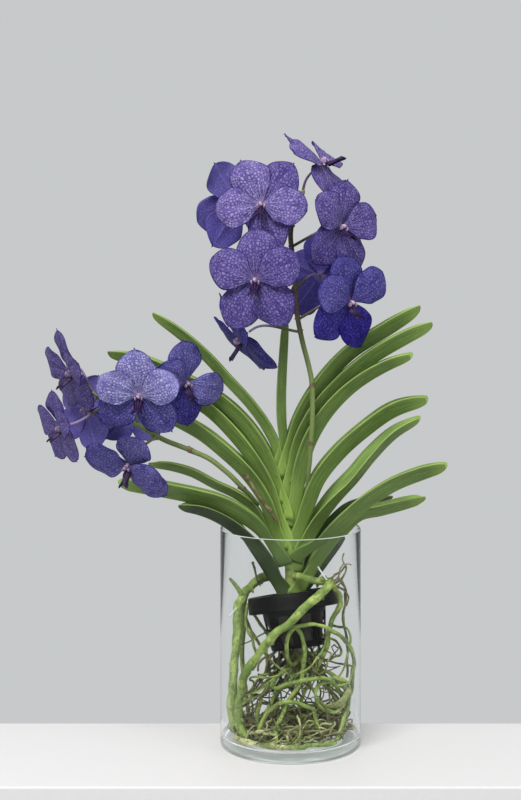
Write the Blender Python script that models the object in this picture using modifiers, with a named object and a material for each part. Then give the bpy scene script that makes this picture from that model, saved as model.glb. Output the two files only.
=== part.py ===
"""A vanda orchid that stands bare-rooted in a clear glass cylinder vase.

Blender script: blender --background --python part.py
Metres, +Z up. The origin is the centre of the vase's base, on the surface it stands on. The plant's two
ranks of leaves spread along X, and most flowers look towards -Y. Routes and flower centres are written in
millimetres.
"""

import math
import random
from collections import namedtuple

import bmesh
import bpy
import numpy as np
from mathutils import Matrix, Vector

MM = 0.001

# The vase
VASE_RADIUS = 0.075
VASE_HEIGHT = 0.232
VASE_WALL = 0.004
VASE_BASE = 0.012
VASE_EDGE = 0.0045  # rounding of the outer bottom edge
VASE_STEPS = 40

# The net pot: the middle of its rim is its own origin, and it hangs down from there
BASKET_RIM_RADIUS = 0.048
BASKET_RIM_BAND = 0.0165
BASKET_TOP_RADIUS = 0.0365
BASKET_FOOT_RADIUS = 0.029
BASKET_DEPTH = 0.056
BASKET_WALL = 0.0016
BASKET_HOLE_RADIUS = 0.020
BASKET_SLOTS = 8
BASKET_SLOT_WIDTH = 0.013
BASKET_SLOT_TOP = 0.022
BASKET_SLOT_FOOT = 0.050
BASKET_STEPS = 24
BASKET_PLACE = (0.0016, 0.0, 0.1605)
BASKET_LEAN_BACK = math.radians(-12)
BASKET_LEAN_SIDE = math.radians(-7.5)

# The stem: flattened, because the leaf sheaths clasp it from left and right
STEM_ROUTE = [(3, 0, 128), (1, 0, 160), (-1, 0, 200), (-4, 0, 255), (-6, 0, 300), (-8, 0, 330)]
STEM_RADII = (6.2, 6.2, 5.2, 4.2, 3.3, 2.4)
STEM_FLATNESS = 0.6

# The leaves: straps folded along the keel, which is the lower edge
LEAF_THICKNESS = 0.0011
LEAF_STATIONS = (0, 0.06, 0.13, 0.21, 0.31, 0.43, 0.56, 0.69, 0.81, 0.9, 0.96, 1)
LEAF_FOLD = 30  # degrees from each half to the leaf's upright plane, at the stem
LEAF_BASE_SHARE = 0.52
LEAF_BASE_END = 0.2
LEAF_TIP_START = 0.87
LEAF_TIP_SHARE = 0.34
LEAF_NOTCH = 0.004
CENTRE_LEAF_WIDTHS = (0.7, 0.85, 0.6)

# route from the stem to the tip, width of one half in mm, fold at the tip, twist halfway and at the tip
Leaf = namedtuple("Leaf", "route half tip_fold twist_mid twist_tip")
LEAVES = {
    "leaf_right_1": Leaf(
        [(-3, 0, 286), (-2, 0, 300), (-0.5, 0.5, 316), (4, 1, 332), (15, 2, 358), (34, 3, 387),
         (62, 6, 417), (102, 8, 443), (140, 10, 466)], 17, 26, 0, 0),
    "leaf_right_2": Leaf(
        [(0, 0, 258), (1, 0, 275), (2.5, 0, 292), (5.5, 0, 308), (11, 0, 326), (26, 0, 355), (51, 0, 384),
         (85, -1, 413), (122, -3, 435), (152, -5, 449)], 17, 28, 0, 0),
    "leaf_right_3": Leaf(
        [(3, 0, 232), (4.5, 0, 248), (6.5, 0, 266), (10, 0, 290), (19, -1, 321), (37, -3, 353),
         (63, -6, 381), (100, -10, 405), (130, -14, 417)], 17, 45, 0, 0),
    "leaf_right_4": Leaf(
        [(6, 0, 204), (7.5, 0, 214), (10, 0, 230), (18, 0, 256), (29, 0, 283), (50, 2, 310), (79, 4, 336),
         (112, 6, 358), (149, 8, 368)], 18, 28, 0, 0),
    "leaf_right_5": Leaf(
        [(8, 0.8, 182), (10, 2.6, 195), (15, 4, 212), (26, 5, 234), (44, 4, 259), (66, 1, 283),
         (87, -2, 309), (111, -4, 333), (139, -5, 349)], 18, 55, 20, 0),
    "leaf_right_6": Leaf(
        [(9.4, -7.2, 192), (11.8, -9.8, 199), (17, -12.5, 205), (31, -16, 218), (52, -20, 239),
         (85, -27, 268), (109, -30, 283), (135, -34, 294), (164, -38, 303)], 16.5, 32, 0, 0),
    "leaf_right_7": Leaf(
        [(8.5, 0, 156), (15, 1, 171), (26, 4, 189), (42, 6, 210.5), (58, 8, 230), (74, 9, 244),
         (96, 9, 249), (123, 8, 256), (145, 6, 262)], 16, 42, 0, 0),
    "leaf_right_8": Leaf(
        [(6, 8.5, 165), (9, 11.3, 176), (15, 14.6, 190), (31, 20, 213), (48, 26, 232), (64, 31, 245),
         (87, 38, 252), (112, 44, 257)], 15, 40, 0, 0),
    "leaf_right_9": Leaf(
        [(6.5, 7.6, 150), (14, 12.5, 161), (24, 18, 173), (37, 22, 188), (50, 24, 203),
         (61, 23, 217)], 15, 45, 0, 0),
    "leaf_left_1": Leaf(
        [(-10, 0, 278), (-11.5, 0, 294), (-13, 0, 309), (-17, 0, 323), (-24, 0, 337), (-43, 0, 364),
         (-67, 0, 390), (-91, 0, 416), (-118, 0, 439), (-148, 0, 460)], 12, 30, 0, 0),
    "leaf_left_2": Leaf(
        [(-9, 0, 240), (-10.5, 0, 255), (-13, 0, 271), (-16.5, 0, 286), (-23, 0, 303), (-41, 2, 334),
         (-65, 5, 359), (-89, 8, 376), (-124, 12, 393), (-162, 16, 409), (-197, 20, 416)], 16, 30, 0, 0),
    "leaf_left_3": Leaf(
        [(-8.5, 0, 216), (-10.5, 0, 231), (-13.5, 0, 247), (-18, 0, 263), (-25, 0, 281), (-41, 0, 308),
         (-62, 3, 334), (-84, 8, 355), (-108, 15, 370), (-134, 23, 380)], 17, 30, 0, 0),
    "leaf_left_4": Leaf(
        [(-8, 0, 196), (-10.5, 0, 211), (-14.5, 0, 227), (-19.5, 0, 243), (-27, 0, 262), (-45, 0, 289),
         (-70, 0, 313), (-96, 3, 333), (-124, 9, 347), (-146, 14, 355)], 17, 30, 0, 0),
    "leaf_left_5": Leaf(
        [(-13.5, 4.5, 189), (-16.5, 5.5, 199), (-21, 7, 212), (-28, 8, 231), (-40, 9, 252),
         (-59, 10, 266), (-81, 12, 276), (-107, 14, 289), (-129, 15, 295),
         (-153, 16, 297)], 10, 30, 0, 0),
    "leaf_left_6": Leaf(
        [(-9.9, -7.6, 189.5), (-12.8, -10.5, 197.5), (-18, -11.5, 208), (-31, -14, 231), (-54, -15, 250),
         (-73, -16, 260), (-101, -16, 268), (-128, -19, 274), (-154, -22, 279),
         (-182, -24, 282)], 19, 34, 0, 0),
    "leaf_left_7": Leaf(
        [(-8, 0, 155), (-12, -1, 167), (-18, -4, 181), (-31, -9, 204), (-51, -13, 227), (-73, -16, 243.5),
         (-96, -21, 254), (-119, -25, 258)], 15, 45, 0, 0),
    "leaf_left_8": Leaf(
        [(-8, 9, 152), (-14, 11, 166), (-28, 14, 188), (-44, 16, 210), (-59, 17, 229.5), (-73, 18, 245),
         (-84, 19, 251)], 14, 45, 0, 0),
    "leaf_centre": Leaf(
        [(-8, 0, 330.9), (-9, 0, 340), (-10, 0, 363), (-9, 0, 395), (-7, 0, 427),
         (-5, 0, 459)], 13, 20, 0, 0),
}

# The flower stalks
SPIKE_UPRIGHT = [
    (16, -1, 266), (17.5, -4, 275), (18.5, -10, 288), (20, -15, 304), (21, -19, 322), (22.5, -20.5, 346),
    (23, -20, 370), (22, -19, 390), (18, -17, 410), (12, -15, 433), (7, -12, 459), (5, -10, 491),
    (2, -8, 523), (0, -6, 544), (4, -4, 566), (12, -2, 587)]
SPIKE_ARCHING = [
    (-34, 8, 254), (-41, 0, 264), (-50, -13, 275), (-68, -20, 294), (-88, -21, 309), (-104, -20, 316),
    (-135, -17, 328), (-157, -13, 340), (-181, -8, 354), (-200, -4, 368), (-212, -2, 377)]
SPIKE_OLD = [(-13.5, -11, 240), (-23, -16.5, 253), (-35, -22, 271), (-47, -25, 290)]
SPIKE_RADIUS = 2.7
SPIKE_START_RADIUS = 1.9
SPIKE_END_RADIUS = 1.7
SPIKE_OLD_RADIUS = 1.9
PEDICEL_RADIUS = 1.3
PEDICEL_GAP = 0.8
PEDICEL_BEND = 8

# The flowers: five tepals round a column, in the flower's own frame (X right, Y up, Z out of its face)
TEPAL_THICKNESS = 0.0009
TEPAL_STATIONS = (0.02, 0.27, 0.56, 0.85, 0.992)
TEPAL_PEAK = 1.3  # moves the widest place of a tepal outward
TEPAL_FULLNESS = 0.62
COLUMN_RADIUS = 3.4
COLUMN_FRONT = 8
COLUMN_BACK = 11
SEPAL_LAYER = -2.2
PETAL_LAYER = 0.8

# length and width in mm, layer, forward pitch in degrees
Tepal = namedtuple("Tepal", "length width layer pitch")
DORSAL = Tepal(51, 43, SEPAL_LAYER, 2)
PETAL = Tepal(49, 42, PETAL_LAYER, 6)
LATERAL = Tepal(54, 43, SEPAL_LAYER, 0)
TEPALS = (DORSAL, PETAL, PETAL, LATERAL, LATERAL)
TEPAL_DIRECTIONS = (90, 22, 158, -52, 232)

# centre in mm, azimuth (0 towards -Y, 90 towards +X), elevation, roll, size, extra pitch, own directions
Bloom = namedtuple("Bloom", "centre azimuth elevation roll size pitch directions")
BLOOMS = {
    "top_1": Bloom((33, 14, 622), 66, 44, 0, 1.04, -8, TEPAL_DIRECTIONS),
    "top_2": Bloom((-31, -46, 576), -6, 6, 0, 1, 0, (115, 52, 188, -8, -76)),
    "top_3": Bloom((-37, -66, 498), -6, 0, 0, 1.04, 0, (88, 23, 158, -55, 238)),
    "top_4": Bloom((53, -24, 553), 40, 4, -14, 1, 0, TEPAL_DIRECTIONS),
    "top_5": Bloom((62, -30, 474), 34, -8, 0, 1, 0, (106, 42, 158, -66, 220)),
    "top_6": Bloom((-54, -14, 435), -72, -32, 8, 1, -6, TEPAL_DIRECTIONS),
    "top_7": Bloom((-56, 16, 577), -150, 0, 0, 0.95, 0, (57, -20, 125, -46, 199)),
    "top_8": Bloom((34, 40, 500), 156, -6, 0, 0.95, 0, TEPAL_DIRECTIONS),
    "left_1": Bloom((-158, -52, 378), -4, -12, 0, 0.95, 0, (93, 22, 156, -50, 218)),
    "left_2": Bloom((-110, -27, 389), 32, -14, 0, 0.92, 0, (102, -14, 156, -80, 214)),
    "left_3": Bloom((-233, -8, 399), -70, -16, 0, 0.92, 4, TEPAL_DIRECTIONS),
    "left_4": Bloom((-240, -46, 344), -58, -12, 0, 0.78, 4, TEPAL_DIRECTIONS),
    "left_5": Bloom((-220, 27, 353), 160, -6, 20, 0.8, 0, TEPAL_DIRECTIONS),
    "left_6": Bloom((-169, -62, 307), -28, -34, 0, 0.94, 4, (58, -20, 140, -50, 172)),
    "left_7": Bloom((-172, 48, 354), 178, -10, 0, 0.8, 0, TEPAL_DIRECTIONS),
}

# The lips: dark tongues below the column
LIP_LENGTH = 20
LIP_THICKNESS = 0.0018
LIP_START = (0, -4.5, 3.8)
LIP_PITCH = 68  # degrees out of the flower's face
LIP_STATIONS = (0, 0.2, 0.45, 0.7, 0.88, 1)
LIP_HALF_WIDTHS = (3.2, 3.8, 2.8, 2.9, 4.1, 3.6)
LIP_NOTCH = 0.09

# The roots, in mm
ROOT_LEFT = [
    (1, 6, 155), (0, 14, 159), (-7, 22, 165), (-18, 27, 169), (-31, 24, 170), (-43, 13, 164),
    (-52, 0, 157), (-56, -8, 147), (-56.5, -13, 129), (-59, -16, 98), (-61, -18, 72), (-62, -18, 48),
    (-61, -15, 26), (-60, -10, 17)]
ROOT_LEFT_REAR = [
    (-43, 13, 164), (-49, 9.5, 153), (-50, 9, 126), (-52, 10, 93), (-48, 13, 55), (-43, 16, 24),
    (-38, 20, 16)]
ROOT_LEFT_TIP = [(-52, -4, 159), (-58, -4, 168), (-66, -4, 177)]
ROOT_FRONT = [
    (2.3, -4.5, 178), (6.5, -11, 180), (14, -18, 180), (24, -25, 179), (32, -31, 179), (40, -37, 179),
    (36, -46, 174), (20, -54, 163), (0, -57, 144), (-20, -54, 127), (-35, -48, 107), (-45, -43, 92),
    (-53, -36, 65), (-54, -34, 40), (-51, -34, 24), (-45, -34, 17)]
ROOT_RIGHT = [
    (40, -36, 179), (49, -32, 168), (51, -30, 156), (43, -32, 140), (38, -32, 122), (38, -29, 112),
    (30, -27, 92), (20, -24, 74), (10, -26, 52)]
ROOT_HANGING = [
    (41, -35, 179), (51, -18, 177), (58, 0, 168), (60, 5, 153), (57, 5, 135), (60, 8, 114), (62, 11, 90),
    (62, 13, 68)]
ROOT_THICK = 4.3
ROOT_START = 3.0
ROOT_MIDDLE = 3.0
ROOT_THIN = 1.9
ROOT_FINE = 1.3

# The foot of the stem goes on as a crown of roots in the pot, and the thinner roots spread from it
CROWN = [(3, -0.5, 125.4), (6, -6, 116), (9, -11, 104), (10, -12, 92), (9, -10, 82)]
CROWN_RADII = (6, 7, 7.5, 6, 3)
LOOPING_ROOTS = [
    [(9, -12, 98), (4, -28, 93), (-3, -44, 102), (-5, -48, 120), (0, -49, 134), (12, -51, 139),
     (34, -49, 137), (53, -38, 124), (64, -20, 106), (66, -12, 84), (64, -4, 58), (57, 14, 30),
     (46, 32, 16)],
    [(6, -49, 137), (11, -48, 127), (13, -46, 110), (12, -43, 90), (6, -42, 72), (-6, -44, 52),
     (-16, -50, 30), (-14, -56, 16)],
    [(9, -11, 92), (-4, -24, 88), (-20, -38, 70), (-6, -44, 76), (10, -44, 79), (36, -42, 83),
     (58, -28, 74), (62, -22, 58), (56, -30, 36), (46, -42, 16)],
    [(8, -12, 88), (-10, -20, 66), (-26, -26, 40), (-36, -34, 20), (-34, -44, 26), (-28, -46, 42),
     (-18, -47, 53), (-5, -47, 59), (10, -46, 57), (22, -44, 49), (28, -42, 34), (32, -40, 16)],
    [(10, -10, 90), (24, -14, 84), (40, -26, 84), (54, -28, 72), (58, -26, 56), (50, -34, 46),
     (34, -42, 50), (25, -44, 62), (28, -40, 74), (40, -34, 76), (52, -20, 60), (56, 0, 34),
     (52, 14, 16)],
    [(7, -10, 90), (-10, -14, 80), (-28, -20, 60), (-36, -30, 36), (-30, -46, 20), (-14, -58, 16),
     (8, -62, 16), (30, -56, 16), (48, -42, 16)],
    [(10, -8, 92), (16, 8, 84), (30, 24, 70), (44, 34, 50), (50, 36, 28), (38, 46, 16), (14, 60, 16),
     (-14, 60, 16), (-38, 48, 16)],
]
BROWN_ROOTS = 10
BROWN_SEED = 7
BROWN_SPREAD = (14, 34)
BROWN_REACH = (28, 52)
FLOOR_HEIGHT = 14.5

# Two thin clear sticks that hold the thick roots, in mm
TIES = {
    "tie_right": [(28, -36.5, 196), (32, -37.5, 190), (37.8, -41, 182.4)],
    "tie_left": [(-65, -20, 141), (-61.5, -16.5, 144), (-57.3, -11.7, 148)],
}
TIE_RADIUS = 0.9


def curve_through(points, shares):
    """Places on a smooth curve through the points, at shares of its length."""
    points = np.array(points, float)
    steps = np.linalg.norm(np.diff(points, axis=0), axis=1)
    knots = np.concatenate([[0], np.cumsum(steps)])
    slopes = np.gradient(points, knots, axis=0)
    dense = np.linspace(0, knots[-1], 30 * len(points))
    piece = np.clip(np.searchsorted(knots, dense, "right") - 1, 0, len(steps) - 1)
    step = steps[piece][:, None]
    t = (dense - knots[piece])[:, None] / step
    line = (
        (2 * t**3 - 3 * t**2 + 1) * points[piece] + (t**3 - 2 * t**2 + t) * step * slopes[piece]
        + (3 * t**2 - 2 * t**3) * points[piece + 1] + (t**3 - t**2) * step * slopes[piece + 1])
    lengths = np.concatenate([[0], np.cumsum(np.linalg.norm(np.diff(line, axis=0), axis=1))])
    wanted = np.asarray(shares) * lengths[-1]
    return np.stack([np.interp(wanted, lengths, line[:, axis]) for axis in range(3)], axis=1)


def eased(low, high, share):
    """0 below low, 1 above high and a smooth step between."""
    t = min(max((share - low) / (high - low), 0), 1)
    return t * t * (3 - 2 * t)


def material(name, colour, roughness, metallic=0.0, transmission=0.0):
    made = bpy.data.materials.new(name)
    made.use_nodes = True
    shader = made.node_tree.nodes["Principled BSDF"]
    shader.inputs["Base Color"].default_value = (*colour, 1)
    shader.inputs["Roughness"].default_value = roughness
    shader.inputs["Metallic"].default_value = metallic
    shader.inputs["Transmission Weight"].default_value = transmission
    return made


def put_away(piece):
    """Removes a helper object and its mesh or curve."""
    data = piece.data
    bpy.data.objects.remove(piece)
    if isinstance(data, bpy.types.Mesh):
        bpy.data.meshes.remove(data)
    else:
        bpy.data.curves.remove(data)


def place(name, data, home, finish):
    """A new object in the object's collection, with its material."""
    piece = bpy.data.objects.new(name, data)
    data.materials.clear()
    data.materials.append(finish)
    home.objects.link(piece)
    return piece


def solid_mesh(piece):
    """The mesh of a helper object with its modifiers or bevel applied and its caps welded."""
    bpy.context.view_layer.update()
    graph = bpy.context.evaluated_depsgraph_get()
    mesh = bpy.data.meshes.new_from_object(piece.evaluated_get(graph))
    shape = bmesh.new()
    shape.from_mesh(mesh)
    bmesh.ops.remove_doubles(shape, verts=shape.verts, dist=1e-6)
    shape.to_mesh(mesh)
    shape.free()
    return mesh


def fused(name, meshes, home, finish):
    """One node: the Boolean union of closed meshes."""
    helpers = bpy.data.collections.new(name + "_pieces")
    bpy.context.scene.collection.children.link(helpers)
    pieces = [bpy.data.objects.new(f"{name}_piece", mesh) for mesh in meshes]
    base = pieces[0]
    bpy.context.scene.collection.objects.link(base)
    for piece in pieces[1:]:
        helpers.objects.link(piece)
    union = base.modifiers.new("Union", "BOOLEAN")
    union.operation = "UNION"
    union.operand_type = "COLLECTION"
    union.collection = helpers
    union.solver = "EXACT"
    mesh = solid_mesh(base)
    for piece in pieces:
        put_away(piece)
    bpy.data.collections.remove(helpers)
    mesh.name = name
    return place(name, mesh, home, finish)


def sheet(name, along, across, where, thickness):
    """The closed mesh of a thin sheet: a grid whose points the function where(row, u) puts in place."""
    shape = bmesh.new()
    bmesh.ops.create_grid(shape, x_segments=along, y_segments=across, size=1)
    for vert in shape.verts:
        row = round((vert.co.x + 1) / 2 * along)
        vert.co = where(row, vert.co.y)
    mesh = bpy.data.meshes.new(name)
    shape.to_mesh(mesh)
    shape.free()
    piece = bpy.data.objects.new(name, mesh)
    bpy.context.scene.collection.objects.link(piece)
    piece.modifiers.new("Triangles", "TRIANGULATE").quad_method = "FIXED"
    wall = piece.modifiers.new("Wall", "SOLIDIFY")
    wall.thickness = thickness
    wall.offset = 0
    wall.use_even_offset = True
    solid = solid_mesh(piece)
    put_away(piece)
    return solid


def tube(name, route, radii, spacing, resolution):
    """The closed mesh of a round tube along a smooth route, with a point about every spacing mm."""
    length = np.linalg.norm(np.diff(np.array(route, float), axis=0), axis=1).sum()
    count = max(round(length / spacing), 2) + 1
    shares = np.linspace(0, 1, count)
    centres = curve_through(route, shares)
    widths = np.interp(shares, np.linspace(0, 1, len(radii)), radii)
    curve = bpy.data.curves.new(name, "CURVE")
    curve.dimensions = "3D"
    curve.bevel_depth = MM
    curve.bevel_resolution = resolution
    curve.use_fill_caps = True
    spline = curve.splines.new("POLY")
    spline.points.add(count - 1)
    for point, centre, width in zip(spline.points, centres, widths):
        point.co = (*(centre * MM), 1)
        point.radius = width
    piece = bpy.data.objects.new(name, curve)
    bpy.context.scene.collection.objects.link(piece)
    solid = solid_mesh(piece)
    put_away(piece)
    return solid


def turned(name, profile, steps):
    """The closed mesh of a profile, given as (radius, height), turned round the Z axis."""
    mesh = bpy.data.meshes.new(name)
    edges = [(i, i + 1) for i in range(len(profile) - 1)]
    if profile[0][0] > 0:
        edges.append((len(profile) - 1, 0))
    mesh.from_pydata([(radius, 0, height) for radius, height in profile], edges, [])
    piece = bpy.data.objects.new(name, mesh)
    bpy.context.scene.collection.objects.link(piece)
    screw = piece.modifiers.new("Turn", "SCREW")
    screw.steps = screw.render_steps = steps
    screw.use_merge_vertices = True
    screw.merge_threshold = 1e-5
    solid = solid_mesh(piece)
    put_away(piece)
    return solid


def arc(centre, radius, start, end, count):
    """Points on an arc of a profile, from start to end in degrees."""
    angles = np.radians(np.linspace(start, end, count))
    return [(centre[0] + radius * math.cos(a), centre[1] + radius * math.sin(a)) for a in angles]


def make_vase(home, finish):
    inner = VASE_RADIUS - VASE_WALL
    rim = VASE_WALL / 2
    profile = [
        (0, VASE_BASE),
        *arc((inner - 0.003, VASE_BASE + 0.003), 0.003, -90, 0, 3),
        *arc((inner + rim, VASE_HEIGHT - 0.001), rim, 150, 30, 3),
        *arc((VASE_RADIUS - VASE_EDGE, VASE_EDGE), VASE_EDGE, 0, -90, 4),
        (0, 0),
    ]
    return place("vase", turned("vase", profile, VASE_STEPS), home, finish)


def basket_matrix():
    return (
        Matrix.Translation(BASKET_PLACE)
        @ Matrix.Rotation(BASKET_LEAN_SIDE, 4, "Y")
        @ Matrix.Rotation(BASKET_LEAN_BACK, 4, "X")
    )


def make_basket(home, cutters, finish):
    """The net pot: flange and rim band outside, tapered wall with slots, foot with a hole."""
    wall = BASKET_WALL
    profile = [
        (BASKET_TOP_RADIUS - wall, 0),
        (BASKET_RIM_RADIUS, 0),
        (BASKET_RIM_RADIUS, -BASKET_RIM_BAND),
        (BASKET_RIM_RADIUS - wall, -BASKET_RIM_BAND),
        (BASKET_RIM_RADIUS - wall, -wall),
        (BASKET_TOP_RADIUS, -wall),
        (BASKET_FOOT_RADIUS, -BASKET_DEPTH),
        (BASKET_HOLE_RADIUS, -BASKET_DEPTH),
        (BASKET_HOLE_RADIUS, -BASKET_DEPTH + wall),
        (BASKET_FOOT_RADIUS - wall, -BASKET_DEPTH + wall),
    ]
    basket = place("basket", turned("basket", profile, BASKET_STEPS), home, finish)
    shape = bmesh.new()
    height = BASKET_SLOT_FOOT - BASKET_SLOT_TOP
    size = Matrix.Diagonal((BASKET_TOP_RADIUS, BASKET_SLOT_WIDTH, height, 1))
    middle = Matrix.Translation((BASKET_TOP_RADIUS, 0, -(BASKET_SLOT_TOP + BASKET_SLOT_FOOT) / 2))
    for slot in range(BASKET_SLOTS):
        turn = Matrix.Rotation(2 * math.pi * (slot + 0.5) / BASKET_SLOTS, 4, "Z")
        bmesh.ops.create_cube(shape, size=1, matrix=turn @ middle @ size)
    mesh = bpy.data.meshes.new("basket_slots")
    shape.to_mesh(mesh)
    shape.free()
    slots = bpy.data.objects.new("basket_slots", mesh)
    slots.hide_render = True
    slots.display_type = "WIRE"
    cutters.objects.link(slots)
    cut = basket.modifiers.new("Slots", "BOOLEAN")
    cut.operation = "DIFFERENCE"
    cut.object = slots
    basket.matrix_world = basket_matrix()
    slots.matrix_world = basket_matrix()
    return basket


def make_stem(home, finish):
    mesh = tube("stem", STEM_ROUTE, STEM_RADII, 16, 2)
    mesh.transform(Matrix.Diagonal((1, STEM_FLATNESS, 1, 1)))
    return place("stem", mesh, home, finish)


def leaf_width(name, share):
    """Share of the full width that a leaf has at a share of its length."""
    tip = min(max((share - LEAF_TIP_START) / (1 - LEAF_TIP_START), 0), 1)
    rounding = LEAF_TIP_SHARE + (1 - LEAF_TIP_SHARE) * math.sqrt(1 - tip**2)
    if name == "leaf_centre":
        return rounding * np.interp(share, (0, 0.35, 1), CENTRE_LEAF_WIDTHS)
    return rounding * (LEAF_BASE_SHARE + (1 - LEAF_BASE_SHARE) * eased(0, LEAF_BASE_END, share))


def make_leaf(name, leaf, home, finish):
    """A folded strap along its route, opening towards the tip, where it ends in two lobes."""
    centres = curve_through(leaf.route, LEAF_STATIONS) * MM
    tangents = np.gradient(centres, np.array(LEAF_STATIONS), axis=0)
    heading = Vector(leaf.route[-1]) - Vector(leaf.route[0])
    heading = Vector((1, 0, 0)) if name == "leaf_centre" else Vector((heading.x, heading.y, 0)).normalized()
    sideways = heading.cross(Vector((0, 0, 1)))

    def where(row, u):
        share = LEAF_STATIONS[row]
        along = Vector(tangents[row]).normalized()
        twist = math.radians(np.interp(share, (0, 0.5, 1), (0, leaf.twist_mid, leaf.twist_tip)))
        side = (sideways - sideways.dot(along) * along).normalized()
        side.rotate(Matrix.Rotation(twist, 3, along))
        up = side.cross(along)
        fold = math.radians(LEAF_FOLD + (leaf.tip_fold - LEAF_FOLD) * eased(0.1, 0.9, share))
        half = leaf.half * MM * leaf_width(name, share)
        point = Vector(centres[row]) + side * half * math.sin(fold) * u
        point += up * half * math.cos(fold) * (abs(u) - 0.5)
        if share == 1 and abs(u) < 0.5:
            point -= along * LEAF_NOTCH
        return point

    mesh = sheet(name, len(LEAF_STATIONS) - 1, 2, where, LEAF_THICKNESS)
    return place(name, mesh, home, finish)


def bloom_matrix(bloom):
    """From a flower's own frame, in mm, to the world."""
    azimuth = math.radians(bloom.azimuth)
    elevation = math.radians(bloom.elevation)
    out = Vector((
        math.sin(azimuth) * math.cos(elevation), -math.cos(azimuth) * math.cos(elevation),
        math.sin(elevation)))
    right = Vector((0, 0, 1)).cross(out).normalized()
    up = out.cross(right)
    turn = Matrix((right, up, out)).transposed().to_4x4()
    roll = Matrix.Rotation(math.radians(bloom.roll), 4, "Z")
    return Matrix.Translation(Vector(bloom.centre) * MM) @ turn @ roll @ Matrix.Scale(bloom.size * MM, 4)


def tepal_mesh(tepal, direction, extra_pitch):
    """One sepal or petal: narrow at its claw, full and rounded further out, its margins bent back."""
    turn = Matrix.Rotation(math.radians(direction), 4, "Z")
    tilt = Matrix.Rotation(math.radians(-tepal.pitch - extra_pitch), 4, "Y")

    def where(row, u):
        share = TEPAL_STATIONS[row]
        half = tepal.width / 2 * math.sin(math.pi * share**TEPAL_PEAK) ** TEPAL_FULLNESS
        arch = tepal.length * 0.07 * math.sin(math.pi * share)
        margin = 0.1 * half * u * u
        flat = Vector((tepal.length * share, half * u, arch - margin))
        return turn @ (tilt @ flat + Vector((0, 0, tepal.layer)))

    return sheet("tepal", len(TEPAL_STATIONS) - 1, 2, where, TEPAL_THICKNESS / MM)


def make_bloom(name, bloom, home, finish):
    meshes = []
    shape = bmesh.new()
    length = COLUMN_FRONT + COLUMN_BACK
    bmesh.ops.create_cone(
        shape, cap_ends=True, segments=8, radius1=PEDICEL_RADIUS + 0.3, radius2=COLUMN_RADIUS, depth=length,
        matrix=Matrix.Translation((0, 0, (COLUMN_FRONT - COLUMN_BACK) / 2)))
    column = bpy.data.meshes.new("column")
    shape.to_mesh(column)
    shape.free()
    meshes.append(column)
    for tepal, direction in zip(TEPALS, bloom.directions):
        meshes.append(tepal_mesh(tepal, direction, bloom.pitch))
    for mesh in meshes:
        mesh.transform(bloom_matrix(bloom))
    return fused("bloom_" + name, meshes, home, finish)


def make_lip(name, bloom, home, finish):
    slant = math.radians(LIP_PITCH)
    out = Vector((0, -math.cos(slant), math.sin(slant)))
    lift = Vector((0, math.sin(slant), math.cos(slant)))
    start = Vector(LIP_START)

    def where(row, u):
        share = LIP_STATIONS[row]
        reach = share - LIP_NOTCH * (row == len(LIP_STATIONS) - 1 and abs(u) < 0.5)
        sag = 1.6 * math.sin(math.pi * share) * (1 - u * u)
        return start + out * LIP_LENGTH * reach + Vector((LIP_HALF_WIDTHS[row] * u, 0, 0)) - lift * sag

    mesh = sheet("lip_" + name, len(LIP_STATIONS) - 1, 2, where, LIP_THICKNESS / MM)
    mesh.transform(bloom_matrix(bloom))
    return place("lip_" + name, mesh, home, finish)


def pedicel(bloom, spike):
    """The stalklet from the nearest lower place on the spike to the back of a flower."""
    matrix = bloom_matrix(bloom)
    end = matrix @ Vector((0, 0, -COLUMN_BACK - PEDICEL_GAP)) / MM
    before = matrix @ Vector((0, 0, -COLUMN_BACK - PEDICEL_BEND)) / MM
    line = curve_through(spike, np.linspace(0.2, 1, 120))
    gaps = np.linalg.norm(line + np.array((0, 0, 14)) - np.array(before), axis=1)
    start = line[int(gaps.argmin())]
    route = [tuple(start), tuple(before), tuple(end)]
    return tube("pedicel", route, (PEDICEL_RADIUS + 0.3, PEDICEL_RADIUS), 10, 1)


def make_spike(name, route, blooms, home, finish):
    meshes = [tube(name, route, (SPIKE_START_RADIUS, *[SPIKE_RADIUS] * 6, SPIKE_END_RADIUS), 20, 1)]
    meshes += [pedicel(bloom, route) for bloom in blooms]
    return fused(name, meshes, home, finish)


def brown_route(turn, chance):
    """A thin root that hangs from the crown, spreads and then runs round on the vase's floor."""
    spread = chance.uniform(*BROWN_SPREAD)
    reach = chance.uniform(*BROWN_REACH)
    sweep = chance.choice((-1, 1)) * chance.uniform(0.5, 1.1)
    route = [(9, -11, 96)]
    for radius, height, angle in (
        (spread * 0.6, 78, turn), (spread, 56, turn + 0.1 * sweep), (reach * 0.8, 32, turn + 0.3 * sweep),
        (reach, FLOOR_HEIGHT, turn + 0.6 * sweep), (reach, FLOOR_HEIGHT, turn + sweep),
        (reach * 0.9, FLOOR_HEIGHT, turn + 1.5 * sweep),
    ):
        wander = chance.uniform(-2, 2)
        route.append((radius * math.cos(angle) + wander, radius * math.sin(angle) + wander, height))
    return route


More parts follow.
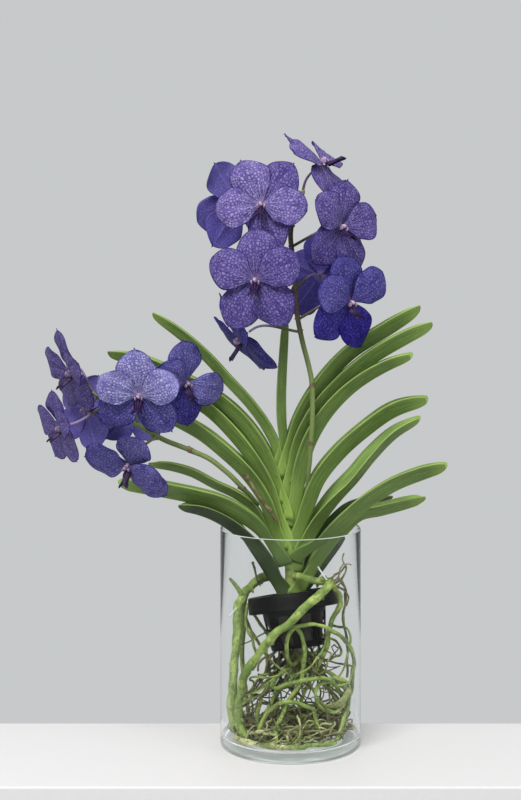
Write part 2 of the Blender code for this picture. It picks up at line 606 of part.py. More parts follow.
def make_roots(home, finish):
    left = [
        tube("root", ROOT_LEFT, (ROOT_START, *[ROOT_THICK] * 6), 18, 1),
        tube("root", ROOT_LEFT_REAR, (ROOT_MIDDLE,), 18, 1),
        tube("root", ROOT_LEFT_TIP, (ROOT_MIDDLE, 1.4), 10, 1),
    ]
    fused("root_left", left, home, finish)
    front = [
        tube("root", ROOT_FRONT, (ROOT_START, *[ROOT_THICK] * 6), 16, 1),
        tube("root", ROOT_RIGHT, (ROOT_MIDDLE, ROOT_THIN), 18, 1),
        tube("root", ROOT_HANGING, (ROOT_THIN, ROOT_FINE), 18, 0),
    ]
    fused("root_front", front, home, finish)
    chance = random.Random(BROWN_SEED)
    fine = [tube("root", CROWN, CROWN_RADII, 12, 2)]
    fine += [tube("root", route, (ROOT_THIN,), 18, 1) for route in LOOPING_ROOTS]
    for index in range(BROWN_ROOTS):
        turn = 2 * math.pi * index / BROWN_ROOTS
        fine.append(tube("root", brown_route(turn, chance), (ROOT_FINE,), 18, 0))
    fused("roots_fine", fine, home, finish)


def make_ties(home, finish):
    for name, route in TIES.items():
        place(name, tube(name, route, (TIE_RADIUS,), 6, 1), home, finish)


def main():
    for old in list(bpy.data.objects):
        bpy.data.objects.remove(old)
    home = bpy.data.collections.new("vanda_orchid_in_vase")
    cutters = bpy.data.collections.new("cutters")
    bpy.context.scene.collection.children.link(home)
    bpy.context.scene.collection.children.link(cutters)
    finishes = {
        "glass": material("glass", (0.9, 0.95, 0.93), 0.02, transmission=1.0),
        "pot_plastic": material("pot_plastic", (0.01, 0.01, 0.013), 0.4),
        "stem_green": material("stem_green", (0.22, 0.33, 0.05), 0.5),
        "leaf_green": material("leaf_green", (0.07, 0.16, 0.02), 0.4),
        "leaf_dark": material("leaf_dark", (0.02, 0.06, 0.012), 0.45),
        "spike_green": material("spike_green", (0.18, 0.24, 0.05), 0.5),
        "spike_dry": material("spike_dry", (0.25, 0.14, 0.05), 0.7),
        "petal_violet": material("petal_violet", (0.1, 0.07, 0.42), 0.55),
        "lip_purple": material("lip_purple", (0.03, 0.01, 0.06), 0.45),
        "root_green": material("root_green", (0.22, 0.31, 0.08), 0.6),
        "tie_clear": material("tie_clear", (0.8, 0.82, 0.8), 0.3),
    }
    make_vase(home, finishes["glass"])
    make_basket(home, cutters, finishes["pot_plastic"])
    make_stem(home, finishes["stem_green"])
    old_leaves = ("leaf_right_8", "leaf_right_9", "leaf_left_7", "leaf_left_8")
    for name, leaf in LEAVES.items():
        make_leaf(name, leaf, home, finishes["leaf_dark" if name in old_leaves else "leaf_green"])
    top = [bloom for name, bloom in BLOOMS.items() if name.startswith("top")]
    left = [bloom for name, bloom in BLOOMS.items() if name.startswith("left")]
    make_spike("spike_upright", SPIKE_UPRIGHT, top, home, finishes["spike_green"])
    make_spike("spike_arching", SPIKE_ARCHING, left, home, finishes["spike_green"])
    old = tube("spike_old", SPIKE_OLD, (SPIKE_OLD_RADIUS,), 14, 1)
    place("spike_old", old, home, finishes["spike_dry"])
    for name, bloom in BLOOMS.items():
        make_bloom(name, bloom, home, finishes["petal_violet"])
        make_lip(name, bloom, home, finishes["lip_purple"])
    make_roots(home, finishes["root_green"])
    make_ties(home, finishes["tie_clear"])


main()
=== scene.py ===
"""A vanda orchid that stands bare-rooted in a clear glass cylinder vase: the dressed model.

Blender script, run after the CAD model is packed. Routes, flower centres and most sizes are the CAD
source's, in millimetres unless a line says otherwise, and each finer piece takes the place of its CAD solid.
For looks the glass wall is thinner, the lips are wider and thinner, the leaves' width, feet and tips differ a
little, and three flowers (top_2, top_7 and left_3) are turned or sized a little otherwise than in the source.
"""

import math
import random
from collections import namedtuple

import bmesh
import bpy
import numpy as np
from mathutils import Matrix, Vector, noise


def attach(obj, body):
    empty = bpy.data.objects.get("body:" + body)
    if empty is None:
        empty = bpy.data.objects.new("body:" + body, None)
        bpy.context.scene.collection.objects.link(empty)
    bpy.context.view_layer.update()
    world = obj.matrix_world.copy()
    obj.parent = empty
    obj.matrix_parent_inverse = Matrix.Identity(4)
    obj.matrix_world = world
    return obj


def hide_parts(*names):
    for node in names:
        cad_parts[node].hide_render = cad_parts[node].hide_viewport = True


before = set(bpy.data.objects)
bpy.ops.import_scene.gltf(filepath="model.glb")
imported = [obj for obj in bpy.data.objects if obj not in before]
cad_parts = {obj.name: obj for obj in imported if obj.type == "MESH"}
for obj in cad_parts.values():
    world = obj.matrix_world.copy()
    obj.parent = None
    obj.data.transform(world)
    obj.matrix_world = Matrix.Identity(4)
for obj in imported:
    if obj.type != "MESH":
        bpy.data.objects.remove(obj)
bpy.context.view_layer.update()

MM = 0.001
TO_METRES = Matrix.Scale(MM, 4)

# The photograph: its size in pixels, the camera's distance and height in metres, and the horizon's row
PHOTO_HEIGHT = 800
CAMERA_PLACE = (-0.032, -1.8, 0.54)
FOCAL_PIXELS = 1685
HORIZON_ROW = 239

# The vase
VASE_RADIUS = 75
VASE_HEIGHT = 232
VASE_WALL = 2.0  # half of the CAD wall
VASE_BASE = 12
VASE_EDGE = 4.5
VASE_FOOT_RISE = 1.1  # the underside is hollowed by this much
VASE_STEPS = 144

# The net pot, whose own origin is the middle of its rim
BASKET_RIM_RADIUS = 48
BASKET_RIM_BAND = 16.5
BASKET_TOP_RADIUS = 36.5
BASKET_FOOT_RADIUS = 29
BASKET_DEPTH = 56
BASKET_WALL = 1.6
BASKET_HOLE_RADIUS = 20
BASKET_SLOTS = 8
BASKET_SLOT_WIDTH = 13
BASKET_SLOT_TOP = 22
BASKET_SLOT_FOOT = 50
BASKET_HOOP = (34, 36.5)  # depths between which a hoop crosses the slots
BASKET_STEPS = 192
BASKET_PLACE = (0.0016, 0.0, 0.1605)
BASKET_LEAN_BACK = math.radians(-12)
BASKET_LEAN_SIDE = math.radians(-7.5)

STEM_ROUTE = [(3, 0, 128), (1, 0, 160), (-1, 0, 200), (-4, 0, 255), (-6, 0, 300), (-8, 0, 330)]
STEM_RADII = (6.2, 6.2, 5.2, 4.2, 3.3, 2.4)
STEM_FLATNESS = 0.6

LEAF_THICKNESS = 1.1
LEAF_FOLD = 30
LEAF_BASE_SHARE = 0.6
LEAF_BASE_END = 0.26
LEAF_TIP_START = 0.8
LEAF_TIP_SHARE = 0.4
LEAF_NOTCH = 4
LEAF_STEPS_ACROSS = 18
LEAF_CLASP = 9  # how much further the margins reach round the stem at a leaf's foot
LEAF_SPREAD = 0.03  # how much wider a blade is than its solid
CENTRE_LEAF_FOOT = [(-7, 0, 296), (-7.5, 0, 312)]
CENTRE_LEAF_WIDTHS = (0.7, 0.85, 0.6)
FRONT_LEAVES = ("leaf_right_6", "leaf_left_6")
FRONT_LEAF_BASE_SHARE = 0.4
FRONT_LEAF_BASE_END = 0.38

# route from the stem to the tip, width of one half, fold at the tip, twist halfway and at the tip in degrees
Leaf = namedtuple("Leaf", "route half tip_fold twist_mid twist_tip")
LEAVES = {
    "leaf_right_1": Leaf(
        [(-3, 0, 286), (-2, 0, 300), (-0.5, 0.5, 316), (4, 1, 332), (15, 2, 358), (34, 3, 387),
         (62, 6, 417), (102, 8, 443), (140, 10, 466)], 17, 26, 0, 0),
    "leaf_right_2": Leaf(
        [(0, 0, 258), (1, 0, 275), (2.5, 0, 292), (5.5, 0, 308), (11, 0, 326), (26, 0, 355), (51, 0, 384),
         (85, -1, 413), (122, -3, 435), (152, -5, 449)], 17, 28, 0, 0),
    "leaf_right_3": Leaf(
        [(3, 0, 232), (4.5, 0, 248), (6.5, 0, 266), (10, 0, 290), (19, -1, 321), (37, -3, 353),
         (63, -6, 381), (100, -10, 405), (130, -14, 417)], 17, 45, 0, 0),
    "leaf_right_4": Leaf(
        [(6, 0, 204), (7.5, 0, 214), (10, 0, 230), (18, 0, 256), (29, 0, 283), (50, 2, 310), (79, 4, 336),
         (112, 6, 358), (149, 8, 368)], 18, 28, 0, 0),
    "leaf_right_5": Leaf(
        [(8, 0.8, 182), (10, 2.6, 195), (15, 4, 212), (26, 5, 234), (44, 4, 259), (66, 1, 283),
         (87, -2, 309), (111, -4, 333), (139, -5, 349)], 18, 55, 20, 0),
    "leaf_right_6": Leaf(
        [(9.4, -7.2, 192), (11.8, -9.8, 199), (17, -12.5, 205), (31, -16, 218), (52, -20, 239),
         (85, -27, 268), (109, -30, 283), (135, -34, 294), (164, -38, 303)], 16.5, 32, 0, 0),
    "leaf_right_7": Leaf(
        [(8.5, 0, 156), (15, 1, 171), (26, 4, 189), (42, 6, 210.5), (58, 8, 230), (74, 9, 244),
         (96, 9, 249), (123, 8, 256), (145, 6, 262)], 16, 42, 0, 0),
    "leaf_right_8": Leaf(
        [(6, 8.5, 165), (9, 11.3, 176), (15, 14.6, 190), (31, 20, 213), (48, 26, 232), (64, 31, 245),
         (87, 38, 252), (112, 44, 257)], 15, 40, 0, 0),
    "leaf_right_9": Leaf(
        [(6.5, 7.6, 150), (14, 12.5, 161), (24, 18, 173), (37, 22, 188), (50, 24, 203),
         (61, 23, 217)], 15, 45, 0, 0),
    "leaf_left_1": Leaf(
        [(-10, 0, 278), (-11.5, 0, 294), (-13, 0, 309), (-17, 0, 323), (-24, 0, 337), (-43, 0, 364),
         (-67, 0, 390), (-91, 0, 416), (-118, 0, 439), (-148, 0, 460)], 12, 30, 0, 0),
    "leaf_left_2": Leaf(
        [(-9, 0, 240), (-10.5, 0, 255), (-13, 0, 271), (-16.5, 0, 286), (-23, 0, 303), (-41, 2, 334),
         (-65, 5, 359), (-89, 8, 376), (-124, 12, 393), (-162, 16, 409), (-197, 20, 416)], 16, 30, 0, 0),
    "leaf_left_3": Leaf(
        [(-8.5, 0, 216), (-10.5, 0, 231), (-13.5, 0, 247), (-18, 0, 263), (-25, 0, 281), (-41, 0, 308),
         (-62, 3, 334), (-84, 8, 355), (-108, 15, 370), (-134, 23, 380)], 17, 30, 0, 0),
    "leaf_left_4": Leaf(
        [(-8, 0, 196), (-10.5, 0, 211), (-14.5, 0, 227), (-19.5, 0, 243), (-27, 0, 262), (-45, 0, 289),
         (-70, 0, 313), (-96, 3, 333), (-124, 9, 347), (-146, 14, 355)], 17, 30, 0, 0),
    "leaf_left_5": Leaf(
        [(-13.5, 4.5, 189), (-16.5, 5.5, 199), (-21, 7, 212), (-28, 8, 231), (-40, 9, 252),
         (-59, 10, 266), (-81, 12, 276), (-107, 14, 289), (-129, 15, 295),
         (-153, 16, 297)], 10, 30, 0, 0),
    "leaf_left_6": Leaf(
        [(-9.9, -7.6, 189.5), (-12.8, -10.5, 197.5), (-18, -11.5, 208), (-31, -14, 231), (-54, -15, 250),
         (-73, -16, 260), (-101, -16, 268), (-128, -19, 274), (-154, -22, 279),
         (-182, -24, 282)], 19, 34, 0, 0),
    "leaf_left_7": Leaf(
        [(-8, 0, 155), (-12, -1, 167), (-18, -4, 181), (-31, -9, 204), (-51, -13, 227), (-73, -16, 243.5),
         (-96, -21, 254), (-119, -25, 258)], 15, 45, 0, 0),
    "leaf_left_8": Leaf(
        [(-8, 9, 152), (-14, 11, 166), (-28, 14, 188), (-44, 16, 210), (-59, 17, 229.5), (-73, 18, 245),
         (-84, 19, 251)], 14, 45, 0, 0),
    "leaf_centre": Leaf(
        [(-8, 0, 330.9), (-9, 0, 340), (-10, 0, 363), (-9, 0, 395), (-7, 0, 427),
         (-5, 0, 459)], 13, 20, 0, 0),
}
# The four lowest leaves get darker copies of the leaf skin: partly older leaves' colour, partly painted shade
# under the fan.
OLD_SHADED_LEAVES = ("leaf_right_8", "leaf_right_9", "leaf_left_7", "leaf_left_8")

# The flower stalks, and the places of their empty nodes
SPIKE_UPRIGHT = [
    (16, -1, 266), (17.5, -4, 275), (18.5, -10, 288), (20, -15, 304), (21, -19, 322), (22.5, -20.5, 346),
    (23, -20, 370), (22, -19, 390), (18, -17, 410), (12, -15, 433), (7, -12, 459), (5, -10, 491),
    (2, -8, 523), (0, -6, 544), (4, -4, 566), (12, -2, 587)]
SPIKE_ARCHING = [
    (-34, 8, 254), (-41, 0, 264), (-50, -13, 275), (-68, -20, 294), (-88, -21, 309), (-104, -20, 316),
    (-135, -17, 328), (-157, -13, 340), (-181, -8, 354), (-200, -4, 368), (-212, -2, 377)]
SPIKE_OLD = [(-13.5, -11, 240), (-23, -16.5, 253), (-35, -22, 271), (-47, -25, 290)]
NODES_UPRIGHT = [(21, -19, 322), (23, -20, 383)]
NODES_ARCHING = [(-50, -13, 275), (-104, -20, 316)]
NODES_OLD = [(-21, -15, 251), (-45, -25, 287)]
SPIKE_RADIUS = 2.7
SPIKE_START_RADIUS = 1.9
SPIKE_END_RADIUS = 1.7
SPIKE_OLD_RADIUS = 1.9
PEDICEL_RADIUS = 1.3
PEDICEL_GAP = 0.8
PEDICEL_BEND = 8
OWN_BENDS = {"left_3": (-217.5, -2.5, 390)}

# The flowers: five tepals round a column, in the flower's own frame (X right, Y up, Z out of its face)
TEPAL_THICKNESS = 0.9
TEPAL_PEAK = 1.3
LATERAL_PEAK = 1.12
TEPAL_FULLNESS = 0.62
COLUMN_FRONT = 8
COLUMN_BACK = 11
SEPAL_LAYER = -2.2
PETAL_LAYER = 0.8

# length and width, layer, forward pitch in degrees
Tepal = namedtuple("Tepal", "length width layer pitch")
DORSAL = Tepal(51, 43, SEPAL_LAYER, 2)
PETAL = Tepal(49, 42, PETAL_LAYER, 6)
LATERAL = Tepal(54, 43, SEPAL_LAYER, 0)
TEPALS = (DORSAL, PETAL, PETAL, LATERAL, LATERAL)
TEPAL_DIRECTIONS = (90, 22, 158, -52, 232)

# centre, azimuth (0 towards -Y, positive towards +X), elevation, roll, size, extra pitch, own directions, and
# how pale the upper three tepals and the two lower sepals are
Bloom = namedtuple("Bloom", "centre azimuth elevation roll size pitch directions paleness")
BLOOMS = {
    "top_1": Bloom((33, 14, 622), 66, 44, 0, 1.04, -8, TEPAL_DIRECTIONS, (0.65, 0.5)),
    "top_2": Bloom((-31, -46, 576), -6, 6, 0, 1, 0, (115, -8, 188, 52, -76), (0.85, 0.5)),
    "top_3": Bloom((-37, -66, 498), -6, 0, 0, 1.04, 0, (88, 23, 158, -55, 238), (0.5, 0.38)),
    "top_4": Bloom((53, -24, 553), 40, 4, -14, 1, 0, TEPAL_DIRECTIONS, (0.5, 0.36)),
    "top_5": Bloom((62, -30, 474), 34, -8, 0, 1, 0, (106, 42, 158, -66, 220), (0.25, 0.0)),
    "top_6": Bloom((-54, -14, 435), -72, -32, 8, 1, -6, TEPAL_DIRECTIONS, (0.15, 0.1)),
    "top_7": Bloom((-56, 16, 577), -150, 0, 0, 1.03, 0, (57, -25, 125, -53, 199), (0.4, 0.3)),
    "top_8": Bloom((34, 40, 500), 156, -6, 0, 0.95, 0, TEPAL_DIRECTIONS, (0.1, 0.06)),
    "left_1": Bloom((-158, -52, 378), -4, -12, 0, 0.95, 0, (93, 22, 156, -50, 218), (1, 0.3)),
    "left_2": Bloom((-110, -27, 389), 32, -14, 0, 0.92, 0, (102, -14, 156, -80, 214), (0.4, 0.06)),
    "left_3": Bloom((-233, -8, 399), -60, -16, 0, 0.92, 4, TEPAL_DIRECTIONS, (0.6, 0.5)),
    "left_4": Bloom((-240, -46, 344), -58, -12, 0, 0.78, 4, TEPAL_DIRECTIONS, (0.6, 0.6)),
    "left_5": Bloom((-220, 27, 353), 160, -6, 20, 0.8, 0, TEPAL_DIRECTIONS, (0.5, 0.4)),
    "left_6": Bloom((-169, -62, 307), -28, -34, 0, 0.94, 4, (58, -20, 140, -50, 172), (0.36, 0.4)),
    "left_7": Bloom((-172, 48, 354), 178, -10, 0, 0.8, 0, TEPAL_DIRECTIONS, (0.35, 0.25)),
}

VIOLET_BLOOMS = ("top_1", "top_2", "top_3", "top_4", "left_3", "left_4")

# The lips
LIP_LENGTH = 20
LIP_THICKNESS = 1.5
LIP_START = (0, -4.5, 3.8)
LIP_PITCH = 68
LIP_STATIONS = (0, 0.2, 0.45, 0.7, 0.88, 1)
LIP_HALF_WIDTHS = (3.2, 3.8, 2.8, 2.9, 4.1, 3.6)
LIP_NOTCH = 0.09
LIP_WIDENING = 1.45  # how many times the CAD lip's width the tongue has

# The roots
ROOT_LEFT = [
    (1, 6, 155), (0, 14, 159), (-7, 22, 165), (-18, 27, 169), (-31, 24, 170), (-43, 13, 164),
    (-52, 0, 157), (-56, -8, 147), (-56.5, -13, 129), (-59, -16, 98), (-61, -18, 72), (-62, -18, 48),
    (-61, -15, 26), (-60, -10, 17)]
ROOT_LEFT_REAR = [
    (-43, 13, 164), (-49, 9.5, 153), (-50, 9, 126), (-52, 10, 93), (-48, 13, 55), (-43, 16, 24),
    (-38, 20, 16)]
ROOT_LEFT_TIP = [(-52, -4, 159), (-58, -4, 168), (-66, -4, 177)]
ROOT_FRONT = [
    (2.3, -4.5, 178), (6.5, -11, 180), (14, -18, 180), (24, -25, 179), (32, -31, 179), (40, -37, 179),
    (36, -46, 174), (20, -54, 163), (0, -57, 144), (-20, -54, 127), (-35, -48, 107), (-45, -43, 92),
    (-53, -36, 65), (-54, -34, 40), (-51, -34, 24), (-45, -34, 17)]
ROOT_RIGHT = [
    (40, -36, 179), (49, -32, 168), (51, -30, 156), (43, -32, 140), (38, -32, 122), (38, -29, 112),
    (30, -27, 92), (20, -24, 74), (10, -26, 52)]
ROOT_HANGING = [
    (41, -35, 179), (51, -18, 177), (58, 0, 168), (60, 5, 153), (57, 5, 135), (60, 8, 114), (62, 11, 90),
    (62, 13, 68)]
ROOT_THICK = 4.3
ROOT_START = 3.0
ROOT_MIDDLE = 3.0
ROOT_THIN = 1.9
ROOT_FINE = 1.3
ROOT_KNUCKLES = [
    ((38, -37.5, 181), 5.2), ((34, -33.5, 183), 4.2), ((43, -37, 176), 4.4), ((40, -41.5, 178), 3.6)]
SIDE_ROOTS = [
    [(-50, 8, 152), (-49, 6, 138), (-43, 4, 122), (-33, 2, 106), (-25, 0, 90), (-30, -6, 70)],
    [(-44, 10, 146), (-38, 7, 134), (-31, 4, 125), (-23, 4, 113), (-18, 2, 100)],
    [(-46, -2, 150), (-48, -8, 132), (-42, -14, 116), (-36, -16, 100), (-40, -14, 82)],
]
DRY_ROOTS = [
    [(-41, 6, 191), (-38.5, 8, 182), (-36, 9, 172), (-32, 12, 164)],
    [(41, -34, 180), (46, -24, 184), (54, -14, 186), (62, -6, 192), (66, -3, 190)],
    [(41, -34, 178), (48, -22, 176), (56, -12, 180), (60, -6, 188), (56, -4, 196), (58, -2, 202)],
    [(42, -34, 176), (50, -24, 172), (57, -14, 166), (62, -8, 158), (60, -6, 148)],
    [(42, -32, 178), (48, -18, 170), (54, -8, 172), (60, -2, 164)],
    [(43, -33, 176), (49, -26, 180), (53, -18, 190), (57, -10, 193)],
]
FLAT_ROOTS = [
    ([(34, -34, 50), (42, -36, 51), (50, -36, 54), (58, -32, 62), (60, -26, 68)], 3.6),
    ([(-50, -40, 17), (-34, -50, 15.5), (-18, -58, 15), (0, -62, 15), (16, -60, 15.5)], 3.4),
    ([(-56, -20, 20), (-58, -28, 17), (-50, -40, 15.5), (-38, -50, 15)], 3.0),
]
CROWN = [(3, -0.5, 125.4), (6, -6, 116), (9, -11, 104), (10, -12, 92), (9, -10, 82)]
CROWN_RADII = (6, 7, 7.5, 6, 3)
LOOPING_ROOTS = [
    [(9, -12, 98), (4, -28, 93), (-3, -44, 102), (-5, -48, 120), (0, -49, 134), (12, -51, 139),
     (34, -49, 137), (53, -38, 124), (64, -20, 106), (66, -12, 84), (64, -4, 58), (57, 14, 30),
     (46, 32, 16)],
    [(6, -49, 137), (11, -48, 127), (13, -46, 110), (12, -43, 90), (6, -42, 72), (-6, -44, 52),
     (-16, -50, 30), (-14, -56, 16)],
    [(9, -11, 92), (-4, -24, 88), (-20, -38, 70), (-6, -44, 76), (10, -44, 79), (36, -42, 83),
     (58, -28, 74), (62, -22, 58), (56, -30, 36), (46, -42, 16)],
    [(8, -12, 88), (-10, -20, 66), (-26, -26, 40), (-36, -34, 20), (-34, -44, 26), (-28, -46, 42),
     (-18, -47, 53), (-5, -47, 59), (10, -46, 57), (22, -44, 49), (28, -42, 34), (32, -40, 16)],
    [(10, -10, 90), (24, -14, 84), (40, -26, 84), (54, -28, 72), (58, -26, 56), (50, -34, 46),
     (34, -42, 50), (25, -44, 62), (28, -40, 74), (40, -34, 76), (52, -20, 60), (56, 0, 34),
     (52, 14, 16)],
    [(7, -10, 90), (-10, -14, 80), (-28, -20, 60), (-36, -30, 36), (-30, -46, 20), (-14, -58, 16),
     (8, -62, 16), (30, -56, 16), (48, -42, 16)],
    [(10, -8, 92), (16, 8, 84), (30, 24, 70), (44, 34, 50), (50, 36, 28), (38, 46, 16), (14, 60, 16),
     (-14, 60, 16), (-38, 48, 16)],
]
TIES = {
    "tie_right": [(28, -36.5, 196), (32, -37.5, 190), (37.8, -41, 182.4)],
    "tie_left": [(-65, -20, 141), (-61.5, -16.5, 144), (-57.3, -11.7, 148)],
}
TIE_RADIUS = 0.9

# How many of each kind of small root there are, and the seeds of the draws. The noise that bends the roots
# has the clock for its seed unless it is given one.
BUDS_A_ROOT = 12
WANDERING_LOOPS = 15
MASS_ROOTS = 27  # from the basket's foot downwards, and as many in a wider ring
MAT_ROOTS = 170
PLANT_SEED = 5
BUD_SEED = 23
ROOT_SEED = 11
BEND_SEED = 1795757088


# Shader tools


def tint(red, green, blue):
    """A colour as a screen shows it, 0 to 255, in the linear values that a shader takes."""
    shares = (np.array((red, green, blue)) / 255 + 0.055) / 1.055
    return (*(float(share) for share in shares**2.4), 1)


class Value:
    """A shader socket in an expression: each operator adds its Math node."""

    def __init__(self, finish, socket):
        self.finish = finish
        self.socket = socket

    def math(self, operation, *terms):
        return self.finish.add("Math", {"operation": operation}, dict(enumerate(terms)))

    def __add__(self, other):
        return self.math("ADD", self, other)

    def __sub__(self, other):
        return self.math("SUBTRACT", self, other)

    def __rsub__(self, other):
        return self.math("SUBTRACT", other, self)

    def __mul__(self, other):
        return self.math("MULTIPLY", self, other)

    def __pow__(self, other):
        return self.math("POWER", self, other)

    __radd__ = __add__
    __rmul__ = __mul__

    def size(self):
        return self.math("ABSOLUTE", self)

    def sine(self):
        return self.math("SINE", self)

    def most(self, other):
        return self.math("MAXIMUM", self, other)

    def ease(self, low, high):
        """0 below low, 1 above high and a smooth step between."""
        settings = {"interpolation_type": "SMOOTHSTEP"}
        return self.finish.add("MapRange", settings, {"Value": self, "From Min": low, "From Max": high})


class Finish:
    """A material while its nodes are put together."""

    def __init__(self, name):
        self.material = bpy.data.materials.new(name)
        self.material.use_nodes = True
        self.tree = self.material.node_tree
        self.tree.nodes.clear()

    def add(self, kind, settings=None, sockets=None, output=0):
        """Adds a node of a type: its settings first, then the values or links of its sockets."""
        made = self.tree.nodes.new("ShaderNode" + kind)
        for key, setting in (settings or {}).items():
            setattr(made, key, setting)
        for key, value in (sockets or {}).items():
            if isinstance(value, Value):
                self.tree.links.new(value.socket, made.inputs[key])
            else:
                made.inputs[key].default_value = value
        return Value(self, made.outputs[output])

    def surface_place(self):
        """The piece's own UV: along and across."""
        flat = self.add("UVMap", {"uv_map": "UVMap"})
        return [self.add("SeparateXYZ", sockets={0: flat}, output=axis) for axis in "XY"]

    def tone(self):
        return self.add("Attribute", {"attribute_name": "tone"}, output="Fac")

    def vector(self, x, y):
        return self.add("CombineXYZ", sockets={0: x, 1: y})

    def noise(self, scale, detail=2.0, vector=None, distortion=0.0):
        vector = vector or self.add("TexCoord", output="Object")
        sockets = {"Vector": vector, "Scale": scale, "Detail": detail, "Distortion": distortion}
        return self.add("TexNoise", sockets=sockets)

    def mix(self, share, first, second):
        return self.add("Mix", {"data_type": "RGBA"}, {0: share, 6: first, 7: second}, output=2)

    def coats(self, colour, *coats):
        """Lays coats over a colour, each with its share and its own colour."""
        for share, coat in coats:
            colour = self.mix(share, colour, coat)
        return colour

    def close(self, colour, roughness, relief, depth, constants=None):
        """Gives the material its colour, its roughness and a bump whose full height is a depth in mm."""
        normal = self.add("Bump", sockets={"Height": relief, "Distance": depth * MM, "Strength": 1.0})
        sockets = {"Base Color": colour, "Roughness": roughness, "Normal": normal, **(constants or {})}
        surface = self.add("BsdfPrincipled", sockets=sockets)
        made = self.tree.nodes.new("ShaderNodeOutputMaterial")
        self.tree.links.new(surface.socket, made.inputs["Surface"])
        return self.material


def from_middle(across):
    """0 on a sheet's middle line and 1 on its margins."""
    return (across * 2 - 1).size()


# Materials


def ground_foot_painted_glow():
    """The vase's underside: ground matt, with a painted glow, though it is no lamp, that stands in for light
    from the shelf and keeps the thick base pale.
    """
    finish = Finish("ground_foot_painted_glow")
    grain = finish.noise(500, 3)
    colour = finish.mix(grain, tint(212, 222, 220), tint(238, 244, 242))
    # The emission is a painted glow standing in for light from the bright shelf under the base.
    return finish.close(colour, 0.55 + 0.2 * grain, grain, 0.05, {
        "Transmission Weight": 0.25, "IOR": 1.3,
        "Emission Color": (0.78, 0.84, 0.83, 1), "Emission Strength": 0.3})


def clear_glass():
    finish = Finish("clear_glass")
    smudges = finish.noise(28, 4).ease(0.52, 0.75)
    waves = finish.noise(9, 1)
    return finish.close(
        (0.985, 0.996, 0.992, 1), 0.03 * smudges, waves, 0.05,
        {"Transmission Weight": 1.0, "IOR": 1.25, "Specular Tint": (0.45, 0.46, 0.46, 1)})


def ground_rim_painted_highlight():
    """The vase's rim: less clear than the wall and whitish, a painted highlight that catches a line of light.
    """
    finish = Finish("ground_rim_painted_highlight")
    grain = finish.noise(700, 2)
    # The near-white colour is a painted highlight along the rim.
    colour = finish.mix(grain, tint(228, 236, 232), tint(248, 252, 250))
    return finish.close(colour, 0.3 + 0.15 * grain, grain, 0.05, {"Transmission Weight": 0.55, "IOR": 1.4})


def black_plastic():
    finish = Finish("black_plastic")
    dust = finish.noise(160, 5).ease(0.5, 0.8)
    colour = finish.mix(0.2 * dust, tint(3, 3, 4), tint(34, 32, 29))
    return finish.close(colour, 0.42 + 0.25 * dust, finish.noise(900, 2), 0.08, {"Specular IOR Level": 0.1})


def leaf_skin(name, young, blade, shade, edge):
    """A strap leaf, yellow-green at stem and tip, with veins, olive clouds and a bright edge and keel."""
    finish = Finish(name)
    young, blade, shade, edge = (tint(*screen) for screen in (young, blade, shade, edge))
    along, across = finish.surface_place()
    offside = from_middle(across)
    clouds = finish.noise(26, 4)
    streaks = finish.noise(1, 4, finish.vector(along * 4, across * 30))
    veins = finish.noise(1, 2, finish.vector(along * 10, across * 130))
    scars = finish.noise(320, 3).ease(0.66, 0.73)
    tone = finish.tone()
    colour = finish.coats(
        blade,
        (streaks.ease(0.4, 0.6) * 0.85, shade),
        (veins.ease(0.45, 0.62) * 0.45, young),
        ((1 - veins.ease(0.36, 0.48)) * 0.3, shade),
        (clouds.ease(0.42, 0.72) * 0.42, shade),
        (tone * 0.3, shade),
        ((1 - along.ease(0.03, 0.3)) * (0.85 - 0.55 * tone), young),
        ((1 - along.ease(0.12, 0.42)) * tone.ease(0.6, 1.0) * 0.7, shade),
        (along.ease(0.86, 1.0) * 0.4, young),
        (offside.ease(0.965, 0.992) * along.ease(0.15, 0.45) * 0.4, edge),
        ((1 - offside.ease(0.0, 0.05)) * along.ease(0.2, 0.9) * 0.7, edge),
        (scars * 0.4, tint(150, 146, 96)))
    return finish.close(
        colour, 0.45 + 0.22 * clouds, veins * 0.5 + streaks * 0.5, 0.4, {"Specular IOR Level": 0.35})


def petal_net(finish, along, across):
    """The net: 1 inside each pale fleck and 0 on the darker lines, in flecks that run out along the claw."""
    spots = finish.vector((along ** 1.2) * 14 + 3, across * 15)
    wander = finish.add("TexNoise", sockets={"Vector": spots, "Scale": 0.22, "Detail": 1.0}, output="Color")
    bent = finish.add("VectorMath", {"operation": "MULTIPLY_ADD"}, {0: wander, 1: (2.6, 2.6, 0), 2: spots})
    cells = finish.add(
        "TexVoronoi", {"feature": "DISTANCE_TO_EDGE"}, {"Vector": bent, "Scale": 1.0, "Randomness": 0.6},
        output="Distance")
    strength = finish.noise(1, 2, finish.vector(along * 5, across * 4)).ease(0.3, 0.7)
    return cells.ease(0.0, 0.36) * (0.55 + 0.45 * strength)


